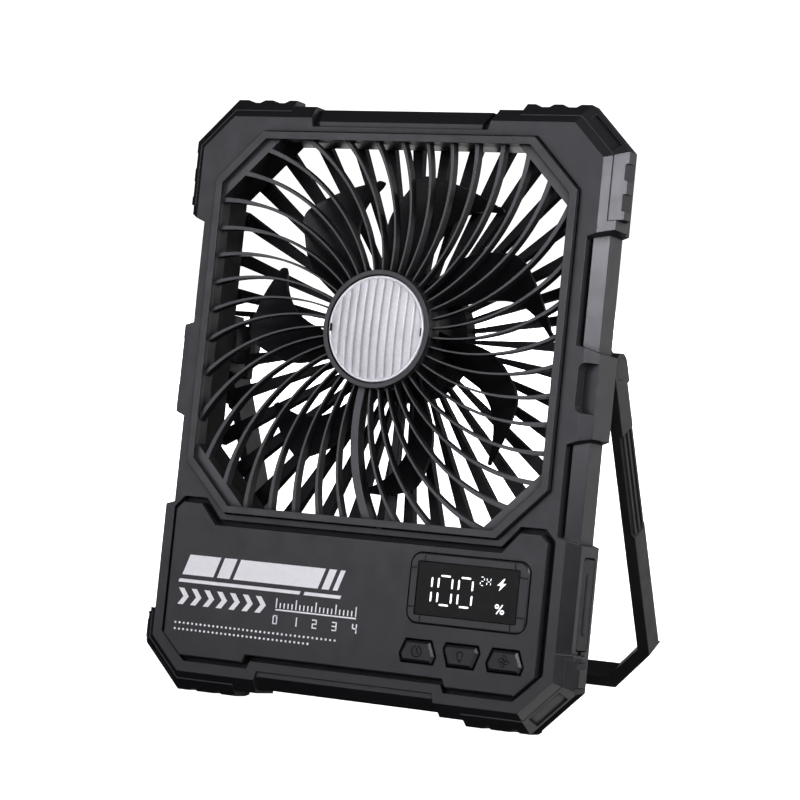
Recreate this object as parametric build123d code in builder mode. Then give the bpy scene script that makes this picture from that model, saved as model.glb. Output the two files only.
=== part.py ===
# Foldable rechargeable desk fan: an octagonal body with a swirling front
# grille, a lamp in the hub, a control panel below, and a U-shaped stand that
# folds flat behind the body or swings over the top as a handle.
#
# The body is drawn upright: X to the right, Y from the front to the back,
# Z up, with the front face in the plane y = 0 and its centre at the origin.
# Every piece is then leaned back about X and set down on the floor, so the
# finished frame has +Z up and its origin at the bottom centre of the object.
from build123d import *
from math import sin, cos, radians, hypot
import os

os.makedirs("parts", exist_ok=True)

# ---------------------------------------------------------------- dimensions
lean = 12.0               # the body leans back by this angle
stand_open = 29.8         # the stand is open by this angle, from folded

face_hw, face_hh, face_ch = 92.0, 116.6, 13.6   # front face octagon
bevel_out, bevel_back = 4.0, 6.6                # slope from face to side wall
bevel_up, bevel_down = 4.4, 3.8                 # the same at the top and the bottom
shell_back = 23.4                               # rear rim of the front housing
seam = shell_back - 2.5                         # front of the rear housing's flange
core_out, core_back = 5.5, 19.0                 # corner blocks: 45 degree edge, then a wall

hub_z = 30.2              # fan axis height
lip_in_hw, lip_in_z0, lip_in_z1, lip_in_ch = 79.85, -46.6, 107.0, 19.0
lip_out_hw, lip_out_z0, lip_out_z1, lip_out_ch = 83.0, -49.5, 110.1, 20.5
lip_proud = 2.3
lip_gap = 0.6
duct_ch, duct_wall, duct_mid, duct_back = 25.0, 1.7, 6.2, 19.5
rib_count, rib_depth, thick_rib_depth = 41, 4.2, 6.0
rib_widths, thick_rib_w = (0.70, 1.32, 3.2), 3.5   # at the hub, half way and at the far end
rib_arc_r = 80.0          # ribs are arcs of this radius
rib_phase = 4.3           # angle at which rib 0 leaves the hub
thick_rib = 29            # rib that carries the lamp wire
hub_r, lens_r, hub_proud = 24.15, 22.1, 2.5

guard_start, guard_lift = 3.3, 0.55   # guards rise from the blocks' slope here, by this much
guard_out, guard_up, guard_down = 7.85, 8.35, 7.9   # how far they stand outside the face edge
guard_edge, guard_back, foot_back = 7.55, 14.5, 18.5
seat_y, seat_z = -32.5924, 124.92355733156073   # where the leaned body's middle comes to rest

panel_proud, panel_floor, floor_back = 2.3, 2.0, 4.6
panel_groove = 2.2        # open groove round the panel
disp_x, disp_z = 53.3, -71.8
win_x, win_z, win_w, win_h = 52.95, -71.8, 44.2, 20.9
frame_w, frame_h, frame_r = 52.1, 27.95, 4.6
frame_proud, frame_gap = 0.9, 0.4
button_z = -97.0
button_x = (33.66, 52.81, 71.96)
button_w, button_h = 15.2, 8.2
button_gap = 0.3
button_travel = 0.8

port_y, port_z0, port_z1 = 13.75, -90.0, -54.0  # cover on the right side wall
cover_t, cover_w, cover_y = 1.8, 10.3, 15.6

rear_hw, rear_z0, rear_z1, rear_ch = 87.0, -114.0, 113.5, 25.0
tub_back, fan_back, bulge_back, wall = 26.6, 35.0, 41.0, 2.2
screw_spots = ((80.0, 102.5), (-80.0, 102.5), (80.5, -104.5), (-80.5, -104.5))

pivot_y, pivot_z = 35.5, 23.2
strap_t, strap_d = 5.2, 12.8
bail_hw, bail_len, bail_ch = 93.0, 145.9, 18.1
pin_r, bush_r, pin_clear = 2.5, 3.5, 0.06

blades = 7
tip_r = 66.0


# ------------------------------------------------------------------- helpers
def at(y):
    """Sketch plane seen from the front, at depth y: local axes are X and Z."""
    return Plane.XZ.offset(-y)


def hub_at(y):
    """As at(y), but centred on the fan axis."""
    return Plane(origin=(0, y, hub_z), x_dir=(1, 0, 0), z_dir=(0, -1, 0))


def octagon(hw, z0, z1, c):
    return [(-hw + c, z0), (hw - c, z0), (hw, z0 + c), (hw, z1 - c),
            (hw - c, z1), (-hw + c, z1), (-hw, z1 - c), (-hw, z0 + c)]


def grown(d):
    """Face octagon grown outwards by d."""
    return octagon(face_hw + d, -face_hh - d, face_hh + d, face_ch + 0.586 * d)


def guard_slope(sx, sz):
    """Plane on the sloping diagonal of a corner guard, local X along the diagonal."""
    o = 5.65
    c = face_ch + 0.586 * o
    return Plane(origin=(sx * (face_hw + o - c / 2), o - guard_lift, sz * (face_hh + o - c / 2)),
                 x_dir=(sx, 0, -sz), z_dir=(sx * 0.5, -(0.5 ** 0.5), sz * 0.5))


def rib_point(s, r0, arc, tilt=-1.0):
    """Point at length s along a rib arc that leaves radius r0 along local X."""
    a0 = radians(tilt)
    a = a0 + s / arc
    return (r0 + arc * (sin(a) - sin(a0)), arc * (cos(a0) - cos(a)), a)


def rib_sides(r0, length, arc, widths, tilt=-1.0):
    """Three points on each long side of a curved rib: its root, middle and end."""
    left, right = [], []
    for f, w in zip((0.0, 0.5, 1.0), widths):
        x, y, a = rib_point(f * length, r0, arc, tilt)
        h = 0.5 * w
        left.append((x - h * sin(a), y + h * cos(a)))
        right.append((x + h * sin(a), y - h * cos(a)))
    return left, right


def inset(outline, d):
    """Outline (clockwise) moved inwards by d, corner for corner."""
    corners = []
    n = len(outline)
    for i in range(n):
        (x0, z0), (x1, z1), (x2, z2) = outline[i - 1], outline[i], outline[(i + 1) % n]
        l0, l1 = hypot(x1 - x0, z1 - z0), hypot(x2 - x1, z2 - z1)
        n0 = ((z1 - z0) / l0, (x0 - x1) / l0)
        n1 = ((z2 - z1) / l1, (x1 - x2) / l1)
        k = d / (1.0 + n0[0] * n1[0] + n0[1] * n1[1])
        corners.append((x1 + k * (n0[0] + n1[0]), z1 + k * (n0[1] + n1[1])))
    return corners


# ============================================================ FRONT HOUSING
# Corner blocks with a tighter edge than the sides.
with BuildPart() as corner_core:
    with BuildSketch(at(0)):
        Polygon(*grown(0), align=None)
    with BuildSketch(at(core_out)):
        Polygon(*grown(core_out), align=None)
    loft(ruled=True)
    with BuildSketch(at(core_out)):
        Polygon(*grown(core_out), align=None)
    extrude(amount=-(core_back - core_out))
    with BuildSketch(at(-1)):
        for sx in (1, -1):
            Polygon((sx * 36, 70), (sx * 110, 70), (sx * 110, 130), (sx * 36, 130), align=None)
            Polygon((sx * 36, -91), (sx * 110, -92), (sx * 110, -130), (sx * 36, -130), align=None)
    extrude(amount=-30, mode=Mode.INTERSECT)

# Recesses in the side walls: a groove behind the face edge, then a slope and a
# wall, flared outwards at both ends.
side_recess = [(88.0, -1), (88.0, 0.4), (86.9, 1.6), (86.9, 7.3), (88.6, 5.7), (93.3, 11.0), (93.3, 30), (110, 30), (110, -1)]
recesses = []
for sx in (1, -1):
    for z0, z1 in ((28.5, 73.0), (-47.0, -9.0)):
        with BuildPart() as cutter:
            with BuildSketch(Plane.XY.offset(z0 - 8)):
                Polygon(*[(sx * x, y) for x, y in side_recess], align=None)
            extrude(amount=z1 - z0 + 16)
            with BuildSketch(at(-1)):
                Polygon((sx * 86, z0 + 1.0), (sx * 86, z1 - 2.4), (sx * 97.2, z1 + 2.1),
                        (sx * 111, z1 + 2.1), (sx * 111, z0 - 2.2), (sx * 96, z0 - 2.2), align=None)
            extrude(amount=-32, mode=Mode.INTERSECT)
        recesses.append(cutter.part)
# Recesses in the top and the bottom: a set-back strip, then a slope; the top
# one is deeper at both ends.
for sz, zt in ((1, face_hh + bevel_up), (-1, face_hh + bevel_down)):
    for depth, outline in ((0.8, [(-40.2, 112), (40.2, 112), (42.2, 120.5), (42.2, 131), (-42.2, 131), (-42.2, 120.5)]),
                           (3.0, [(37.0, 112), (40.2, 112), (42.2, 120.5), (42.2, 131), (39.0, 131), (39.0, 120.5)]),
                           (3.0, [(-37.0, 112), (-40.2, 112), (-42.2, 120.5), (-42.2, 131), (-39.0, 131), (-39.0, 120.5)])):
        if sz < 0 and depth > 1:
            continue
        with BuildPart() as cutter:
            with BuildSketch(Plane.YZ.offset(-50)):
                Polygon((-1, sz * 112.9), (depth, sz * 112.9), (depth, sz * 115.1), (depth + zt - 115.1, sz * zt),
                        (30, sz * zt), (30, sz * 130), (-1, sz * 130), align=None)
            extrude(amount=100)
            with BuildSketch(at(-1)):
                Polygon(*[(x, sz * z) for x, z in outline], align=None)
            extrude(amount=-32, mode=Mode.INTERSECT)
        recesses.append(cutter.part)

# Beds for the corner guards in the diagonal slopes of the blocks.
beds = []
for sx in (1, -1):
    for sz in (1, -1):
        with BuildPart() as cutter:
            with BuildSketch(guard_slope(sx, sz)):
                Rectangle(19.0, 6.4)
            extrude(amount=-2.6)
            with BuildSketch(guard_slope(sx, sz)):
                Rectangle(19.0, 6.4)
            extrude(amount=3.0)
        beds.append(cutter.part)

panel_outline = [(65.8, -54.7), (73.2, -46.3), (82.2, -46.3), (85.4, -49.6), (85.4, -101.7),
                 (76.73, -110.05), (46.7, -110.05), (45.3, -106.9)]
panel_outline = panel_outline + [(-x, z) for x, z in reversed(panel_outline)]
# the groove is narrower along the two lower diagonals
groove_outline = [(65.8, -54.7), (73.2, -46.3), (82.2, -46.3), (85.4, -49.6), (85.4, -99.9),
                  (74.85, -110.05), (46.7, -110.05), (45.3, -106.9)]
groove_outline = groove_outline + [(-x, z) for x, z in reversed(groove_outline)]


def button_outline(cx, grow, flip):
    """Elongated hexagon with one long side a little shorter."""
    w, h = button_w / 2 + grow, button_h / 2 + grow
    top, bot, mid = (2.4, 1.1, 1.5) if not flip else (1.1, 2.3, -2.0)
    return [(cx - w + bot, button_z - h), (cx + w - bot, button_z - h), (cx + w, button_z - mid),
            (cx + w - top, button_z + h), (cx - w + top, button_z + h), (cx - w, button_z - mid)]


side_wall = octagon(face_hw + bevel_out, -face_hh - bevel_down, face_hh + bevel_up, face_ch + 0.586 * bevel_out)
with BuildPart() as front_housing:
    # outer form: face, sloping edge, side wall
    with BuildSketch(at(0)):
        Polygon(*grown(0), align=None)
    with BuildSketch(at(bevel_back)):
        Polygon(*side_wall, align=None)
    loft(ruled=True)
    with BuildSketch(at(bevel_back)):
        Polygon(*side_wall, align=None)
    extrude(amount=-(shell_back - bevel_back))
    add(corner_core.part)
    for cutter_part in recesses + beds:
        add(cutter_part, mode=Mode.SUBTRACT)
    # hollow inside: thin face above, thicker floor behind the panel below
    with BuildSketch(at(2.5)):
        Polygon((-85, -42), (85, -42), (85, 99), (72.5, 111.5), (-72.5, 111.5), (-85, 99), align=None)
    extrude(amount=-30, mode=Mode.SUBTRACT)
    with BuildSketch(at(floor_back)):
        Polygon((-85, -41), (85, -41), (85, -99), (72.5, -111.5), (-72.5, -111.5), (-85, -99), align=None)
    extrude(amount=-30, mode=Mode.SUBTRACT)
    with BuildSketch(at(10.0)):
        Polygon(*octagon(91.0, -115.5, 115.5, 16.0), align=None)
    extrude(amount=-30, mode=Mode.SUBTRACT)
    # bosses for the four housing screws
    with BuildSketch(at(2.0)):
        with Locations(*screw_spots[:2]):
            Circle(3.3)
    extrude(amount=-(seam - 2.0))
    with BuildSketch(at(floor_back - 0.5)):
        with Locations(*screw_spots[2:]):
            Circle(3.0)
    extrude(amount=-(seam - floor_back + 0.5))
    with BuildSketch(at(10.9)):
        with Locations(*screw_spots):
            Circle(1.3)
    extrude(amount=-12, mode=Mode.SUBTRACT)
    # bosses for the main board screws
    with BuildSketch(at(floor_back - 0.5)):
        with Locations((22, -104), (-36, -104), (-36, -60)):
            Circle(2.6)
    extrude(amount=-(8.0 - floor_back + 0.5))
    with BuildSketch(at(5.4)):
        with Locations((22, -104), (-36, -104), (-36, -60)):
            Circle(1.0)
    extrude(amount=-4, mode=Mode.SUBTRACT)
    # posts on the right wall that carry the port board
    with BuildSketch(Plane.YZ.offset(79.0)):
        with Locations((port_y, -54.6), (port_y, -89.2)):
            Circle(2.0)
    extrude(amount=13.5)
    with BuildSketch(Plane.YZ.offset(78.0)):
        with Locations((port_y, -54.6), (port_y, -89.2)):
            Circle(0.8)
    extrude(amount=8.0, mode=Mode.SUBTRACT)
    # grille opening
    with BuildSketch(at(-5)):
        Polygon(*octagon(lip_out_hw + lip_gap, lip_out_z0 - lip_gap, lip_out_z1 + lip_gap, lip_out_ch + 0.5 * lip_gap), align=None)
    extrude(amount=-12, mode=Mode.SUBTRACT)
    # panel pocket, display opening and button openings
    with BuildSketch(at(-5)):
        Polygon(*groove_outline, align=None)
        offset(amount=panel_groove, kind=Kind.INTERSECTION)
    extrude(amount=-(5 + panel_floor), mode=Mode.SUBTRACT)
    with BuildSketch(at(-5)):
        Polygon(*groove_outline, align=None)
        offset(amount=panel_groove, kind=Kind.INTERSECTION)
        Polygon(*panel_outline, align=None, mode=Mode.SUBTRACT)
    extrude(amount=-(5 + 3.4), mode=Mode.SUBTRACT)
    with BuildSketch(at(-5)):
        with Locations((win_x, win_z)):
            Rectangle(44.6, 21.3)
        for i, cx in enumerate(button_x):
            Polygon(*button_outline(cx, button_gap, i == 1), align=None)
    extrude(amount=-12, mode=Mode.SUBTRACT)
    # finger pockets in the side bosses
    with BuildSketch(at(-5)):
        for sx in (1, -1):
            with Locations((sx * 98.5, 12.0)):
                RectangleRounded(17.0, 20.0, 3.2)
    extrude(amount=-(5 + 6.4), mode=Mode.SUBTRACT)
    # port recess, fingernail nick and the two socket openings
    with BuildSketch(Plane.YZ.offset(94.0)):
        with Locations((cover_y, (port_z0 + port_z1) / 2)):
            RectangleRounded(cover_w + 1.0, port_z1 - port_z0 + 1.0, 2.0)
        with Locations((cover_y - 1.5, port_z0 - 0.9)):
            Rectangle(3.4, 2.6)
    extrude(amount=10, mode=Mode.SUBTRACT)
    with BuildSketch(Plane.YZ.offset(88.0)):
        with Locations((13.8, -64.2)):
            Rectangle(6.7, 13.5)
        with Locations((13.8, -80.0)):
            RectangleRounded(3.5, 9.3, 1.7)
    extrude(amount=10, mode=Mode.SUBTRACT)

# ============================================================ CORNER GUARDS
guard_wall = octagon(face_hw + guard_out, -face_hh - guard_down, face_hh + guard_up, face_ch + 4.7)


def guard_region(sx, sz):
    """Where one guard runs: along the top or bottom, and along the side."""
    if sz > 0:
        outline = [(52.0, 116.0), (53.5, 126.0), (120, 126.0), (120, 85.0), (92, 77.45)]
    else:
        outline = [(52.0, -116.0), (53.5, -126.0), (120, -126.0), (120, -96.4), (92, -92.8)]
    return [(sx * x, z) for x, z in outline]


# Notches across the shoulders: each starts on the slope and runs out to the
# full height of the guard at the rear.
notches = {}
for sx, sz in ((1, 1), (-1, 1), (1, -1), (-1, -1)):
    cuts = []
    out, ease, runs = (guard_up, 0.8, ((58.6, 63.5), (70.5, 75.3))) if sz > 0 else (guard_down, 0.3, ((60.9, 63.7), (72.7, 76.2)))
    for a0, a1 in runs:
        with BuildPart() as cutter:
            with BuildSketch(Plane.YZ.offset(min(sx * a0, sx * a1) - 3)):
                Polygon((6.25, sz * (face_hh + 6.8)), (13.4, sz * (face_hh + out)),
                        (13.4, sz * (face_hh + out + 3)), (2.0, sz * (face_hh + out + 3)), align=None)
            extrude(amount=a1 - a0 + 6)
            with BuildSketch(at(-1)):
                Polygon((sx * (a0 + ease), sz * (face_hh + 6.3)), (sx * (a1 - ease), sz * (face_hh + 6.3)),
                        (sx * (a1 + 3.5 * ease), sz * (face_hh + out + 1)), (sx * (a1 + 3.5 * ease), sz * (face_hh + out + 4)),
                        (sx * (a0 - 3.5 * ease), sz * (face_hh + out + 4)), (sx * (a0 - 3.5 * ease), sz * (face_hh + out + 1)), align=None)
            extrude(amount=-20, mode=Mode.INTERSECT)
        cuts.append(cutter.part)
    for z0, z1 in (((82.9, 89.6), (95.0, 101.7)) if sz > 0 else ((-96.9, -94.4), (-107.2, -104.4))):
        with BuildPart() as cutter:
            with BuildSketch(Plane.XY.offset(z0 - 3)):
                Polygon((sx * (face_hw + 6.8), 6.25), (sx * (face_hw + guard_out), 13.4),
                        (sx * (face_hw + guard_out + 3), 13.4), (sx * (face_hw + guard_out + 3), 2.0), align=None)
            extrude(amount=z1 - z0 + 6)
            with BuildSketch(at(-1)):
                Polygon((sx * (face_hw + 6.3), z0 + 0.5), (sx * (face_hw + 6.3), z1 - 0.5),
                        (sx * (face_hw + guard_out + 1), z1 + 0.6), (sx * (face_hw + guard_out + 4), z1 + 0.6),
                        (sx * (face_hw + guard_out + 4), z0 - 0.6), (sx * (face_hw + guard_out + 1), z0 - 0.6), align=None)
            extrude(amount=-20, mode=Mode.INTERSECT)
        cuts.append(cutter.part)
    notches[sx, sz] = cuts

guard_parts = {}
for sx, sz, node in ((1, 1, "guard_top_right"), (-1, 1, "guard_top_left"),
                     (1, -1, "guard_bottom_right"), (-1, -1, "guard_bottom_left")):
    with BuildPart() as guard:
        with BuildSketch(at(guard_start - guard_lift)):
            Polygon(*grown(guard_start), align=None)
        with BuildSketch(at(guard_edge)):
            Polygon(*guard_wall, align=None)
        loft(ruled=True)
        with BuildSketch(at(guard_edge)):
            Polygon(*guard_wall, align=None)
        extrude(amount=-(guard_back - guard_edge))
        # the lower guards reach further back, where the body rests on them
        if sz < 0:
            with BuildSketch(at(guard_back)):
                Polygon(*guard_wall, align=None)
                Polygon((sx * 46, -119.5), (sx * 81.5, -119.5), (sx * 81.5, -130), (sx * 46, -130), align=None, mode=Mode.INTERSECT)
            extrude(amount=-(foot_back - guard_back))
        for cut in notches[sx, sz]:
            add(cut, mode=Mode.SUBTRACT)
        # long trough in the diagonal slope
        with BuildSketch(guard_slope(sx, sz)):
            Rectangle(16.8, 4.9)
        extrude(amount=-1.4, mode=Mode.SUBTRACT)
        with BuildSketch(guard_slope(sx, sz)):
            Rectangle(16.8, 4.9)
        extrude(amount=1.0, mode=Mode.SUBTRACT)
        with BuildSketch(at(-1)):
            Polygon(*guard_region(sx, sz), align=None)
            Polygon(*grown(0.6), align=None, mode=Mode.SUBTRACT)
        extrude(amount=-30, mode=Mode.INTERSECT)
        add(front_housing.part, mode=Mode.SUBTRACT)
    guard_parts[node] = guard.part

# ============================================================ FRONT GRILLE
left, right = rib_sides(22.8, 104.0, rib_arc_r, rib_widths)
with BuildSketch() as plain_rib:
    with BuildLine():
        ThreePointArc(*left)
        Line(left[2], right[2])
        ThreePointArc(*reversed(right))
        Line(right[0], left[0])
    make_face()
left, right = rib_sides(22.8, 104.0, rib_arc_r, (thick_rib_w - 0.3, thick_rib_w, thick_rib_w + 0.5))
with BuildSketch() as wire_rib:
    with BuildLine():
        ThreePointArc(*left)
        Line(left[2], right[2])
        ThreePointArc(*reversed(right))
        Line(right[0], left[0])
    make_face()
left, right = rib_sides(20.6, 104.0, rib_arc_r, (2.2, 2.2, 2.2))
with BuildSketch() as wire_channel:
    with BuildLine():
        ThreePointArc(*left)
        Line(left[2], right[2])
        ThreePointArc(*reversed(right))
        Line(right[0], left[0])
    make_face()
left, right = rib_sides(20.6, 104.0, rib_arc_r, (1.7, 1.7, 1.7))
with BuildSketch() as wire_strip:
    with BuildLine():
        ThreePointArc(*left)
        Line(left[2], right[2])
        ThreePointArc(*reversed(right))
        Line(right[0], left[0])
    make_face()

pitch = 360.0 / rib_count
thick_angle = rib_phase + thick_rib * pitch
duct_in = [(x, z - hub_z) for x, z in octagon(lip_in_hw, lip_in_z0, lip_in_z1, duct_ch)]
with BuildPart() as front_grille:
    # ribs, cut to the duct outline
    with BuildSketch(hub_at(0)):
        with PolarLocations(0, rib_count, start_angle=rib_phase):
            add(plain_rib.sketch)
        Polygon(*[(x * 1.006, z * 1.006) for x, z in duct_in], align=None, mode=Mode.INTERSECT)
    extrude(amount=-rib_depth)
    with BuildSketch(hub_at(0)):
        with PolarLocations(0, 1, start_angle=thick_angle):
            add(wire_rib.sketch)
        Polygon(*[(x * 1.006, z * 1.006) for x, z in duct_in], align=None, mode=Mode.INTERSECT)
    extrude(amount=-thick_rib_depth)
    # lip, corner plates and the front of the duct wall
    with BuildSketch(at(-lip_proud)):
        Polygon(*octagon(lip_out_hw, lip_out_z0, lip_out_z1, lip_out_ch), align=None)
        Polygon(*octagon(lip_in_hw, lip_in_z0, lip_in_z1, lip_in_ch), align=None, mode=Mode.SUBTRACT)
    extrude(amount=-(lip_proud + 2.0))
    with BuildSketch(at(0)):
        Polygon(*octagon(lip_out_hw - 0.5, lip_out_z0 + 0.5, lip_out_z1 - 0.5, lip_out_ch), align=None)
        Polygon(*octagon(lip_in_hw, lip_in_z0, lip_in_z1, duct_ch), align=None, mode=Mode.SUBTRACT)
    extrude(amount=-2.0)
    with BuildSketch(at(0)):
        Polygon(*octagon(lip_in_hw + duct_wall, lip_in_z0 - duct_wall, lip_in_z1 + duct_wall,
                         duct_ch + 0.586 * duct_wall), align=None)
        Polygon(*octagon(lip_in_hw, lip_in_z0, lip_in_z1, duct_ch), align=None, mode=Mode.SUBTRACT)
    extrude(amount=-duct_mid)
    # flange behind the face, closing the gap round the lip
    with BuildSketch(at(5.0)):
        Polygon(*octagon(84.6, -51.8, 111.2, 20.8), align=None)
        Polygon(*octagon(lip_in_hw, lip_in_z0, lip_in_z1, duct_ch), align=None, mode=Mode.SUBTRACT)
    extrude(amount=-(duct_mid - 5.0))
    # hub cup for the lamp
    with BuildSketch(hub_at(-hub_proud)):
        Circle(hub_r)
    extrude(amount=-(hub_proud + 7.2))
    with BuildSketch(hub_at(-hub_proud - 1)):
        Circle(lens_r + 0.12)
    extrude(amount=-(hub_proud + 1 + 5.6), mode=Mode.SUBTRACT)
    # wire channel in the back of the thick rib, through the cup wall and the duct floor
    with BuildSketch(hub_at(4.65)):
        with PolarLocations(0, 1, start_angle=thick_angle):
            add(wire_channel.sketch)
        Polygon((-60, -20), (60, -20), (60, -90), (-60, -90), align=None, mode=Mode.INTERSECT)
    extrude(amount=-1.8, mode=Mode.SUBTRACT)

# Air duct: a collar that carries the duct wall on towards the fan.
with BuildPart() as air_duct:
    with BuildSketch(at(duct_mid)):
        Polygon(*octagon(lip_in_hw + duct_wall, lip_in_z0 - duct_wall, lip_in_z1 + duct_wall,
                         duct_ch + 0.586 * duct_wall), align=None)
        Polygon(*octagon(lip_in_hw, lip_in_z0, lip_in_z1, duct_ch), align=None, mode=Mode.SUBTRACT)
    extrude(amount=-(duct_back - duct_mid))

with BuildPart() as lamp_wire:
    with BuildSketch(hub_at(4.85)):
        with PolarLocations(0, 1, start_angle=thick_angle):
            add(wire_strip.sketch)
        Polygon((-60, -20.6), (60, -20.6), (60, -84.5), (-60, -84.5), align=None, mode=Mode.INTERSECT)
    extrude(amount=-1.1)

# ============================================================ LAMP
lens_rim, lens_sag, lens_in_r, lens_in_sag = -hub_proud + 0.3, 1.6, lens_r - 1.4, 1.5


def cap_mid(y_rim, r, sag):
    """Radius of a spherical cap on the fan axis, and a point half way along it."""
    big = (r * r + sag * sag) / (2 * sag)
    half = r / 2
    return (y_rim - sag + big - (big * big - half * half) ** 0.5, hub_z + half)


with BuildPart() as lamp_lens:
    with BuildSketch(Plane.YZ):
        with BuildLine():
            Polyline((lens_rim, hub_z + lens_r), (lens_rim + 1.8, hub_z + lens_r),
                     (lens_rim + 1.8, hub_z + lens_in_r))
            ThreePointArc((lens_rim + 1.8, hub_z + lens_in_r), cap_mid(lens_rim + 1.8, lens_in_r, lens_in_sag),
                          (lens_rim + 1.8 - lens_in_sag, hub_z))
            Line((lens_rim + 1.8 - lens_in_sag, hub_z), (lens_rim - lens_sag, hub_z))
            ThreePointArc((lens_rim - lens_sag, hub_z), cap_mid(lens_rim, lens_r, lens_sag),
                          (lens_rim, hub_z + lens_r))
        make_face()
    revolve(axis=Axis((0, 0, hub_z), (0, 1, 0)))

with BuildPart() as lamp_reflector:
    with BuildSketch(Plane.YZ):
        Polygon((-0.2, hub_z + 21.6), (3.1, hub_z + 17.6), (3.1, hub_z + 16.6), (-0.2, hub_z + 20.8), align=None)
    revolve(axis=Axis((0, 0, hub_z), (0, 1, 0)))

with BuildPart() as lamp_board:
    with BuildSketch(hub_at(4.2)):
        Circle(18.6)
    extrude(amount=-1.4)
with BuildPart() as lamp_leds:
    with BuildSketch(hub_at(3.2)):
        with PolarLocations(12.0, 8):
            Rectangle(2.8, 3.5)
        Rectangle(2.8, 3.5)
    extrude(amount=-1.0)

# ============================================================ CONTROL PANEL
with BuildPart() as control_panel:
    with BuildSketch(at(-panel_proud)):
        Polygon(*inset(panel_outline, 0.35), align=None)
    with BuildSketch(at(-panel_proud + 0.35)):
        Polygon(*panel_outline, align=None)
    loft(ruled=True)
    with BuildSketch(at(-panel_proud + 0.35)):
        Polygon(*panel_outline, align=None)
    extrude(amount=-(panel_proud - 0.35 + panel_floor))
    with BuildSketch(at(-5)):
        with Locations((disp_x, disp_z)):
            RectangleRounded(frame_w + 2 * frame_gap, frame_h + 2 * frame_gap - 0.25, frame_r + frame_gap)
        for i, cx in enumerate(button_x):
            Polygon(*button_outline(cx, button_gap + 0.45, i == 1), align=None)
    extrude(amount=-12, mode=Mode.SUBTRACT)

# Joint lines across the frame where its bars meet the rounded corners.
with BuildPart() as bezel_joints:
    with BuildSketch(at(-5)):
        with Locations((disp_x - frame_w / 2 + 6.2, disp_z), (disp_x + frame_w / 2 - 6.2, disp_z)):
            Rectangle(0.5, frame_h + 2)
        with Locations((disp_x, disp_z - frame_h / 2 + 6.2), (disp_x, disp_z + frame_h / 2 - 6.2)):
            Rectangle(frame_w + 2, 0.5)
    extrude(amount=-(5 - panel_proud - frame_proud + 0.3))

with BuildPart() as display_bezel:
    with BuildSketch(at(-panel_proud - frame_proud)):
        with Locations((disp_x, disp_z)):
            RectangleRounded(frame_w - 1.0, frame_h - 1.0, frame_r - 0.5)
    with BuildSketch(at(-panel_proud - frame_proud + 0.5)):
        with Locations((disp_x, disp_z)):
            RectangleRounded(frame_w, frame_h, frame_r)
    loft(ruled=True)
    with BuildSketch(at(-panel_proud - frame_proud + 0.5)):
        with Locations((disp_x, disp_z)):
            RectangleRounded(frame_w, frame_h, frame_r)
    extrude(amount=-(panel_proud + frame_proud - 0.5 + panel_floor))
    add(bezel_joints.part, mode=Mode.SUBTRACT)
    with BuildSketch(at(-5)):
        with Locations((win_x, win_z)):
            RectangleRounded(win_w + 0.8, win_h + 0.6, 0.9)
    extrude(amount=-12, mode=Mode.SUBTRACT)

with BuildPart() as display_window:
    with BuildSketch(at(-2.9)):
        with Locations((win_x, win_z)):
            RectangleRounded(win_w, win_h, 0.7)
    extrude(amount=-2.0)

with BuildPart() as display_module:
    with BuildSketch(at(-0.9)):
        with Locations((win_x, win_z)):
            Rectangle(43.4, 20.2)
    extrude(amount=-8.9)

button_parts = {}
for i, (cx, node) in enumerate(zip(button_x, ("timer_button", "lamp_button", "fan_button"))):
    with BuildPart() as button:
        with BuildSketch(at(-panel_proud - 1.1)):
            Polygon(*button_outline(cx, 0, i == 1), align=None)
        extrude(amount=-(panel_proud + 1.1 + 4.9))
        chamfer(button.faces().sort_by(Axis.Y)[0].outer_wire().edges(), length=0.9)
        with BuildSketch(at(4.9)):
            Polygon(*button_outline(cx, 0.7, i == 1), align=None)
        extrude(amount=-0.7)
    button_parts[node] = button.part

# ============================================================ BOARDS AND PORTS
with BuildPart() as main_board:
    with BuildSketch(at(8.0)):
        Polygon((-40, -107), (74, -107), (76, -105), (76, -57), (-40, -57), align=None)
        with Locations((22, -104), (-36, -104), (-36, -60)):
            Circle(1.25, mode=Mode.SUBTRACT)
    extrude(amount=-1.6)

with BuildPart() as tact_switches:
    with BuildSketch(at(7.0)):
        with Locations(*[(cx, button_z) for cx in button_x]):
            Rectangle(6.0, 6.0)
    extrude(amount=-1.0)
    with BuildSketch(at(6.45)):
        with Locations(*[(cx, button_z) for cx in button_x]):
            Circle(1.6)
    extrude(amount=-0.55)

with BuildPart() as board_screws:
    with BuildSketch(at(5.6)):
        with Locations((22, -104), (-36, -104), (-36, -60)):
            Circle(0.98)
    extrude(amount=-4.0)
    with BuildSketch(at(9.6)):
        with Locations((22, -104), (-36, -104), (-36, -60)):
            Circle(2.2)
    extrude(amount=-1.5)
    with BuildSketch(at(10.4)):
        with Locations((22, -104), (-36, -104), (-36, -60)):
            Rectangle(0.7, 2.4)
            Rectangle(2.4, 0.7)
    extrude(amount=-2, mode=Mode.SUBTRACT)

with BuildPart() as port_board:
    with BuildSketch(Plane.YZ.offset(77.4)):
        with Locations((13.9, -71.9)):
            Rectangle(7.6, 39.4)
        with Locations((port_y, -54.6), (port_y, -89.2)):
            Circle(1.0, mode=Mode.SUBTRACT)
    extrude(amount=1.6)

with BuildPart() as port_screws:
    with BuildSketch(Plane.YZ.offset(77.4)):
        with Locations((port_y, -54.6), (port_y, -89.2)):
            Circle(0.78)
    extrude(amount=7.0)
    with BuildSketch(Plane.YZ.offset(76.2)):
        with Locations((port_y, -54.6), (port_y, -89.2)):
            Circle(1.7)
    extrude(amount=1.2)

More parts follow.
